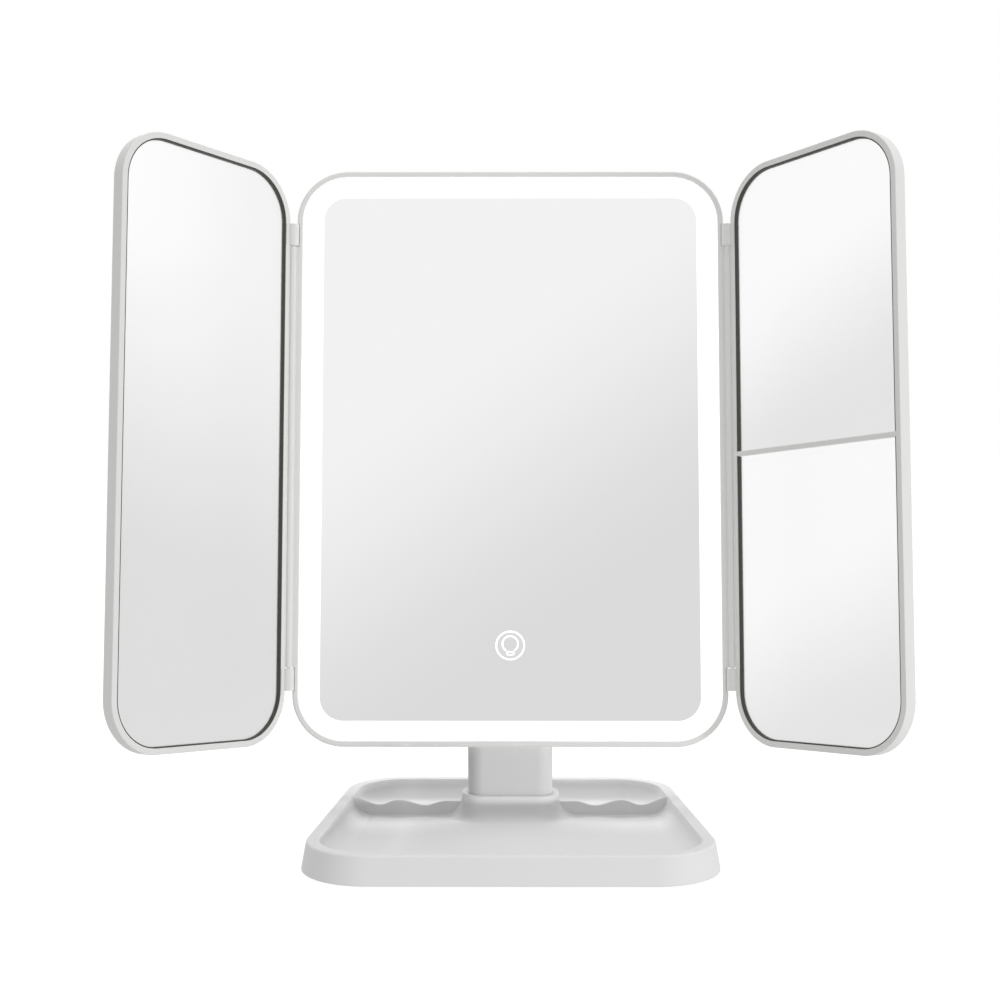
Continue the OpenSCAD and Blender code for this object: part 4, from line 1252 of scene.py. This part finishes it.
@dataclass
class BackHousing:
    """The back cover with its raised housing, battery door, cover screws and the USB socket's tongue."""

    panel: CentrePanel = field(default_factory=CentrePanel)
    cover_t: float = 1.6
    low: float = 5.0
    corner: float = 6.0
    screw_in: float = 4.6
    sink_r: float = 2.2
    sink: float = 0.8
    rail: float = 1.5
    rail_grip: float = 2.2
    hollow: tuple[float, float, float] = (24.0, 13.0, 5.0)
    hollow_deep: float = 0.35
    ridge_h: float = 0.5
    ridge_w: float = 17.0
    ridge_r: float = 0.62
    ridge_pitch: float = 2.4
    ridges: int = 4

    def __post_init__(self) -> None:
        """Take the housing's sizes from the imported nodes, turned back into the head's frame."""
        cover, door = self.local_box("back_cover"), self.local_box("battery_door")
        self.usb_low, self.usb_high = self.local_box("usb_socket")
        self.housing_back = cover[1].z
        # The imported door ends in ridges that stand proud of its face
        self.back = door[1].z - self.ridge_h
        self.top = door[1].y
        self.door_half = door[1].x - self.rail
        self.door_low = door[0].y

    def local_box(self, node: str) -> tuple[Vector, Vector]:
        """Return a frame node's corners in the head's millimetres."""
        to_head = HEAD.inverted()
        points = [to_head @ v.co for v in frame["nodes"][node].data.vertices]
        return (Vector([min(p[i] for p in points) for i in range(3)]),
                Vector([max(p[i] for p in points) for i in range(3)]))

    def cover(self) -> Solid:
        """Draw the cover plate and its housing as one moulding."""
        p, wall, past = self.panel, self.cover_t, self.housing_back + 1
        front, door_front = p.depth - wall, self.back - wall
        width, tall = 2 * -self.usb_low.x - 0.4, self.top - self.low
        middle = (0.0, (self.low + self.top) / 2)
        shape = rounded_outline(width, tall, self.corner, middle, steps=12)
        inside = rounded_outline(width - 2 * wall, tall - 2 * wall, self.corner - wall, middle, steps=12)
        solid = Solid().plate(p.outline(), front, p.depth, 0.0, 0.4, p.rim + 2 * p.fit)
        solid.unite(Solid().plate(shape, front + 0.3, self.housing_back, 0.0, 1.2))
        solid.cut(Solid().plate(inside, front - 1, door_front, 0.0, 0.0))
        half, slot = self.door_half + p.fit, p.slot_half
        a, b = self.usb_low, self.usb_high
        openings = {
            "door": ((-half, self.door_low - p.fit, door_front - 1), (half, self.top + 1, past)),
            "door rails": ((-half - self.rail, self.top - 2 * wall, door_front - 0.8),
                           (half + self.rail, self.top + 1, door_front)),
            "column slot": ((-slot, -1.0, front - 1), (slot, self.low + wall + 0.05, past)),
            "socket": ((a.x - 1, a.y - 0.3, a.z - 0.3), (a.x + 3, b.y + 0.3, b.z + 0.3)),
        }
        for low, high in openings.values():
            solid.cut(Solid().box(low, high))
        for x, up in self.posts():
            solid.cut(Solid().rod((x, up, p.depth - self.sink), (x, up, p.depth + 1), self.sink_r, 28))
        return solid

    def posts(self) -> list[tuple[float, float]]:
        """Return where the six cover screws stand."""
        p = self.panel
        near = p.corner - (p.corner - self.screw_in) * math.cos(math.radians(45))
        spots = []
        for sx in (-1, 1):
            spots += [(sx * (p.width / 2 - near), near), (sx * (p.width / 2 - self.screw_in), p.height / 2),
                      (sx * (p.width / 2 - near), p.height - near)]
        return spots

    def door(self) -> Solid:
        """Draw the sliding door, with its rails and a shallow thumb hollow."""
        front, low, edge = self.back - self.cover_t + 0.05, self.door_low, self.door_half
        stop = self.top - 2 * self.cover_t - 1
        solid = Solid().box((-edge, low, front), (edge, self.top, self.back), 0.35)
        for side in (-1, 1):
            rail = sorted((side * (edge - self.rail_grip), side * (edge + self.rail)))
            neck = sorted((side * (edge - self.rail_grip), side * (edge - 0.2)))
            solid.unite(Solid().box((rail[0], low, front - 0.75), (rail[1], stop, front - 0.15)))
            solid.unite(Solid().box((neck[0], low + 0.3, front - 0.3), (neck[1], stop - 0.1, front + 0.4)))
        hollow = rounded_outline(*self.hollow, (0.0, self.top - 13.6), steps=10)
        return solid.cut(Solid().plate(hollow, self.back - self.hollow_deep, self.back + 1.0, 0.3, 0.0))

    def socket_tongue(self) -> Solid:
        """Draw the contact tongue in the middle of the USB socket."""
        a, b, half = self.usb_low, self.usb_high, 0.35
        middle = (a.z + b.z) / 2
        return Solid().box((a.x + 1.2, a.y + 1.6, middle - half),
                           (a.x + 6.2, b.y - 1.6, middle + half), 0.12)

    def build(self) -> None:
        """Build and dress the back of the head."""
        settle(place_solid(self.cover(), "rear_cover", HEAD), "head", Finish.SHELL, ["back_cover"])
        settle(place_solid(self.door(), "battery_cover", HEAD), "battery_door", Finish.SHELL,
               ["battery_door"])
        rows = [(0.0, self.top - 17.2 + self.ridge_pitch * k, self.back - self.hollow_deep)
                for k in range(self.ridges)]
        settle(thumb_ridges(self.ridge_w, self.ridge_r).run("thumb_ridge_set", rows, HEAD), "battery_door",
               Finish.SHELL, ())
        spots = [(x, up, self.panel.depth + 0.15) for x, up in self.posts()]
        settle(cross_screws("Cover screws", 2.0, 0.9, 0.95, 3.2).run("cover_screw_set", spots, HEAD),
               "head", Finish.STEEL, ["cover_screws"])
        settle(place_solid(self.socket_tongue(), "usb_tongue", HEAD), "head", Finish.NYLON, ())


@dataclass
class Wing:
    """A side wing: slim frame, dark gasket, one or two panes, and a back plate."""

    side: int
    swing: float
    panes: int
    panel: CentrePanel = field(default_factory=CentrePanel)
    width: float = 90.0
    inset: float = 1.5
    depth: float = 5.8
    rim: float = 2.5
    recess: float = 1.3
    glass: float = 2.0
    gasket: float = 0.45
    gasket_in: float = 0.2
    bar: float = 2.0
    gap: float = 1.55
    pin_hole_r: float = 0.8
    back_t: float = 1.6

    def place(self) -> Matrix:
        """Return the way from the wing's own millimetres to the shared frame's metres.

        The wing lies with its hinge axis along y at x = 0 and its front face just behind z = 0.
        """
        c, s = math.cos(math.radians(self.swing)), math.sin(math.radians(self.swing))
        turn = Matrix(((self.side * c, 0, self.side * s, self.side * self.panel.hinge_x), (0, 1, 0, 0),
                       (-s, 0, c, self.panel.hinge_front), (0, 0, 0, 1)))
        return HEAD @ turn

    @property
    def body(self) -> str:
        """The body this wing rides on."""
        return "right_wing" if self.side > 0 else "left_wing"

    @property
    def face(self) -> float:
        """Where the wing's front face lies, back from the hinge axis."""
        return -self.panel.hinge_front

    def outline(self) -> Outline:
        """Return the wing's outer outline."""
        tall = self.panel.height - 2 * self.inset
        return rounded_outline(self.width, tall, self.panel.corner,
                               (self.gap + self.width / 2, self.panel.height / 2), steps=22)

    def across(self, low: float, high: float) -> Solid:
        """Return a block that takes in everything between two heights of the wing."""
        return Solid().box((-5, low, -5), (self.width + 10, high, 20))

    def frame(self) -> Solid:
        """Draw the frame with its knuckles and, on a split wing, the bar between the panes."""
        front, back = self.face, self.face + self.depth
        section = soften([(0.0, front, 0.4), (0.0, back, 0.8), (-self.rim, back, 0.15),
                          (-self.rim, front, 0.2)])
        solid = Solid().sweep(self.outline(), section, ring=True)
        radius = self.panel.knuckle[0]
        for low, high in self.panel.knuckle_spans():
            solid.unite(Solid().rod((0, low, 0), (0, high, 0), radius, 48, 0.25))
            solid.unite(Solid().box((0.0, low + 0.2, 0.0), (self.gap + self.rim, high - 0.2, radius - 0.2)))
            solid.cut(Solid().rod((0, low - 1, 0), (0, high + 1, 0), self.pin_hole_r, 24))
        if self.panes == 2:
            middle, half = self.panel.height / 2, self.bar / 2
            solid.unite(Solid().box(
                (self.gap + self.rim - 0.5, middle - half, front),
                (self.gap + self.width - self.rim + 0.5, middle + half, front + self.recess + self.glass),
                0.3))
        return solid

    def pane(self, index: int) -> Solid:
        """Draw one pane with polished edges.

        Args:
            index: 0 for the whole or the upper pane, 1 for the lower.

        Returns:
            The solid.
        """
        p, low = self.panel, self.face + self.recess
        solid = Solid().plate(self.outline(), low, low + self.glass, p.polish, p.polish, self.rim + p.fit)
        if self.panes == 2:
            keep = p.height / 2 + (1 - 2 * index) * (self.bar / 2 + p.fit)
            solid.cut(self.across(-5.0, keep) if index == 0 else self.across(keep, p.height + 5))
        return solid

    def lining(self) -> Solid:
        """Draw the dark gasket that seats the glass."""
        outer = -self.rim - 0.05
        front, back = self.face + self.gasket_in, self.face + self.recess
        section = soften([(outer, front, 0.12), (outer, back, 0.0), (outer - self.gasket, back, 0.0),
                          (outer - self.gasket, front, 0.12)], steps=3)
        solid = Solid().sweep(self.outline(), section, ring=True)
        if self.panes == 2:
            middle, half = self.panel.height / 2, self.bar / 2 + 0.05
            solid.cut(self.across(middle - half, middle + half))
        return solid

    def cover(self) -> Solid:
        """Draw the back plate, softly rounded at its edge."""
        back = self.face + self.depth
        return Solid().plate(self.outline(), back - self.back_t, back, 0.0, 0.6, self.rim + self.panel.fit)

    def build(self, silver: SilveredGlass) -> None:
        """Build and dress the wing.

        Args:
            silver: the finish of its panes.
        """
        label, place = self.body, self.place()
        settle(place_solid(self.frame(), f"{label}_rim", place), label, Finish.SHELL, [f"{label}_frame"])
        settle(place_solid(self.lining(), f"{label}_lining", place), label, Finish.GASKET,
               [f"{label}_gasket"])
        names = ["mirror"] if self.panes == 1 else ["mirror_upper", "mirror_lower"]
        for index, name in enumerate(names):
            settle(place_solid(self.pane(index), f"{label}_{name}_pane", place), label, silver,
                   [f"{label}_{name}"])
        settle(place_solid(self.cover(), f"{label}_back_plate", place), label, Finish.SHELL,
               [f"{label}_back"])


@dataclass(frozen=True)
class InnerParts:
    """The frame's own nodes that stay as they are, each with the finish of the real part."""

    finishes: tuple[tuple[str, Finish], ...] = (
        ("ballast_plate", Finish.STEEL), ("column_bolts", Finish.STEEL), ("tilt_tongue", Finish.NYLON),
        ("light_diffuser", Finish.OPAL), ("led_board", Finish.LIGHT_BOARD), ("led_chips", Finish.CHIP),
        ("carrier_plate", Finish.INNER), ("foam_strips", Finish.FOAM), ("touch_film", Finish.COPPER),
        ("touch_spring", Finish.TIN), ("control_board", Finish.BOARD), ("usb_socket", Finish.TIN),
        ("battery_box", Finish.INNER), ("battery_contacts", Finish.TIN), ("battery_cells", Finish.CELL),
        ("wiring_leads", Finish.WIRE), ("tilt_bracket", Finish.STEEL), ("bracket_screws", Finish.STEEL),
        ("tilt_bolt", Finish.STEEL), ("tilt_nut", Finish.STEEL), ("friction_washers", Finish.NATURAL),
        ("hinge_pins", Finish.STEEL), ("left_wing_pad", Finish.FOAM), ("right_wing_pad", Finish.FOAM))

    def dress(self) -> None:
        """Give every carried-over node its finish."""
        for node, finish in self.finishes:
            piece = frame["nodes"][node]
            if not piece.material_slots:
                piece.data.materials.append(None)
            for place in piece.material_slots:
                place.material = material_of(finish)
            log.info("%s: carried over as %s", node, finish.value.name)


# ---- the studio ----

@dataclass(frozen=True)
class Softbox:
    """A rectangular soft light, aimed at a point, and kept out of the mirrors."""

    name: str
    at: tuple[float, float, float]
    aim: tuple[float, float, float]
    size: tuple[float, float]
    power: float

    def hang(self) -> bpy.types.Object:
        """Make the light and return it."""
        data = bpy.data.lights.new(self.name, "AREA")
        data.shape, data.size, data.size_y, data.energy = "RECTANGLE", *self.size, self.power
        lamp = add_object(self.name, data)
        lamp.location = self.at
        lamp.rotation_mode = "QUATERNION"
        lamp.rotation_quaternion = (Vector(self.aim) - Vector(self.at)).to_track_quat("-Z", "Y")
        lamp.visible_glossy = False
        return lamp


@dataclass(frozen=True)
class Studio:
    """A white room: pale floor, even soft light, strips for the sides, softboxes above, and the camera.

    The powers are in watts and the places in metres. flag_y and flag_z are the black card's two reaches.
    """

    lens: float = 54.0
    camera_at: tuple[float, float, float] = (-0.001855, -0.60794, 0.15607)
    camera_down: float = 1.61
    camera_turn: float = 0.0039
    floor_r: float = 12.0
    flag_x: float = -0.044
    flag_y: tuple[float, float] = (-0.03, 0.06)
    flag_z: tuple[float, float] = (0.016, 0.033)
    strip_z: float = 0.03
    strip_size: tuple[float, float] = (0.8, 0.05)
    room: float = 0.55
    key: float = 10.6
    front: float = 4.2
    top: float = 9.4
    back: float = 16.0

    def prop(self, name: str, mesh: bmesh.types.BMesh, card: str, settings: dict) -> bpy.types.Object:
        """Turn a flat mesh into a staged piece of the studio.

        Args:
            name: its name.
            mesh: its shape in metres, freed here.
            card: its material's name.
            settings: numbers and colours of its surface.

        Returns:
            The piece.
        """
        prop = object_of(mesh, name)
        mesh.free()
        material, tree = new_material(card)
        surface(tree, settings)
        prop.data.materials.append(material)
        return prop

    def floor(self) -> None:
        """Lay the pale floor; it glows to near white by itself and sends no light back up."""
        mesh = bmesh.new()
        bmesh.ops.create_circle(mesh, cap_ends=True, segments=96, radius=self.floor_r)
        floor = self.prop("floor", mesh, "matt white floor",
                          {"Base Color": to_linear("#7e7e7e"), "Roughness": 0.9, "Specular IOR Level": 0.1,
                           "Emission Color": to_linear("#ffffff"), "Emission Strength": 0.9})
        floor.visible_diffuse = False

    def flag(self) -> None:
        """Hang a small black card left of the column, out of sight, so that its left side is darker."""
        mesh = bmesh.new()
        (near, far), (low, high) = self.flag_y, self.flag_z
        mesh.faces.new([mesh.verts.new((self.flag_x, y, z))
                        for y, z in ((near, low), (far, low), (far, high), (near, high))])
        card = self.prop("black_flag", mesh, "black card",
                         {"Base Color": to_linear("#050505"), "Roughness": 1.0, "Specular IOR Level": 0.0})
        card.visible_camera = card.visible_shadow = False

    def world(self) -> None:
        """Make the room: white to the camera and the mirrors, dimmer where it lights matt surfaces."""
        world = bpy.data.worlds.new("white room")
        bpy.context.scene.world = world
        world.use_nodes = True
        tree = world.node_tree
        tree.nodes.clear()
        white = to_linear("#ffffff")
        seen = add_node(tree, "ShaderNodeBackground", {"Color": white, "Strength": 1.0})
        felt = add_node(tree, "ShaderNodeBackground", {"Color": white, "Strength": self.room})
        path = add_node(tree, "ShaderNodeLightPath")
        both = add_node(tree, "ShaderNodeMixShader", {}, {
            "Fac": path.outputs["Is Diffuse Ray"], 1: seen.outputs[0], 2: felt.outputs[0]})
        add_node(tree, "ShaderNodeOutputWorld", links={"Surface": both.outputs[0]})

    def light(self) -> None:
        """Hang the lights; the front strip skips the column, whose front would lose its roundness."""
        low = (0.0, 0.0, self.strip_z)
        Softbox("key strip", (1.3, -1.1, self.strip_z), low, self.strip_size, self.key).hang()
        strip = Softbox("front strip", (0.0, -1.6, self.strip_z), low, self.strip_size, self.front).hang()
        kept_off = bpy.data.collections.new("kept off the column")
        kept_off.objects.link(bpy.data.objects["column"])
        kept_off.collection_objects[0].light_linking.link_state = "EXCLUDE"
        strip.light_linking.receiver_collection = kept_off
        Softbox("overhead softbox", (0.0, 0.18, 1.7), (0.0, -0.02, 0.0), (0.6, 0.35), self.top).hang()
        Softbox("back softbox", (0.0, 1.3, 1.3), (0.0, 0.04, 0.0), (0.8, 0.6), self.back).hang()

    def camera(self) -> None:
        """Set up the camera."""
        data = bpy.data.cameras.new("camera")
        data.lens, data.sensor_width = self.lens, 36.0
        data.clip_start, data.clip_end = 0.01, 50.0
        camera = add_object("camera", data)
        camera.location = self.camera_at
        camera.rotation_euler = (math.radians(90 - self.camera_down), 0.0, self.camera_turn)
        bpy.context.scene.camera = camera

    def set_up(self) -> None:
        """Build the studio, keep whites white, and let only the wings' linings show in the mirrors."""
        self.floor()
        self.flag()
        self.world()
        self.light()
        self.camera()
        for piece in bpy.context.scene.objects:
            piece.visible_glossy = piece.name.endswith("_lining")
        bpy.context.scene.view_settings.view_transform = "Standard"


def main() -> None:
    """Build every sub-assembly in order, dress the carried-over parts and set up the studio."""
    logging.basicConfig(level=logging.INFO, format="%(name)s: %(message)s")
    WeightedTray().build()
    CentrePanel().build()
    BackHousing().build()
    left = Wing(-1, 53.0, 1)
    # The left pane's greys are a painted reflection, lighter towards its far edge
    left.build(SilveredGlass("silvered left pane", left.place(), "#f3f3f3", "#dfdfdf",
                             PaintedReflectionStep(-0.3, 40.0, 195.0), far="#fdfdfd"))
    right = Wing(1, 54.5, 2)
    # The right panes' greys are a painted reflection, restarted on each pane
    right.build(SilveredGlass("silvered right panes", right.place(), "#fafafa", "#e5e5e5",
                              PaintedReflectionStep(-0.42, 105.0, 185.0), split=right.panel.height / 2))
    InnerParts().dress()
    Studio().set_up()


if __name__ == "__main__":
    main()
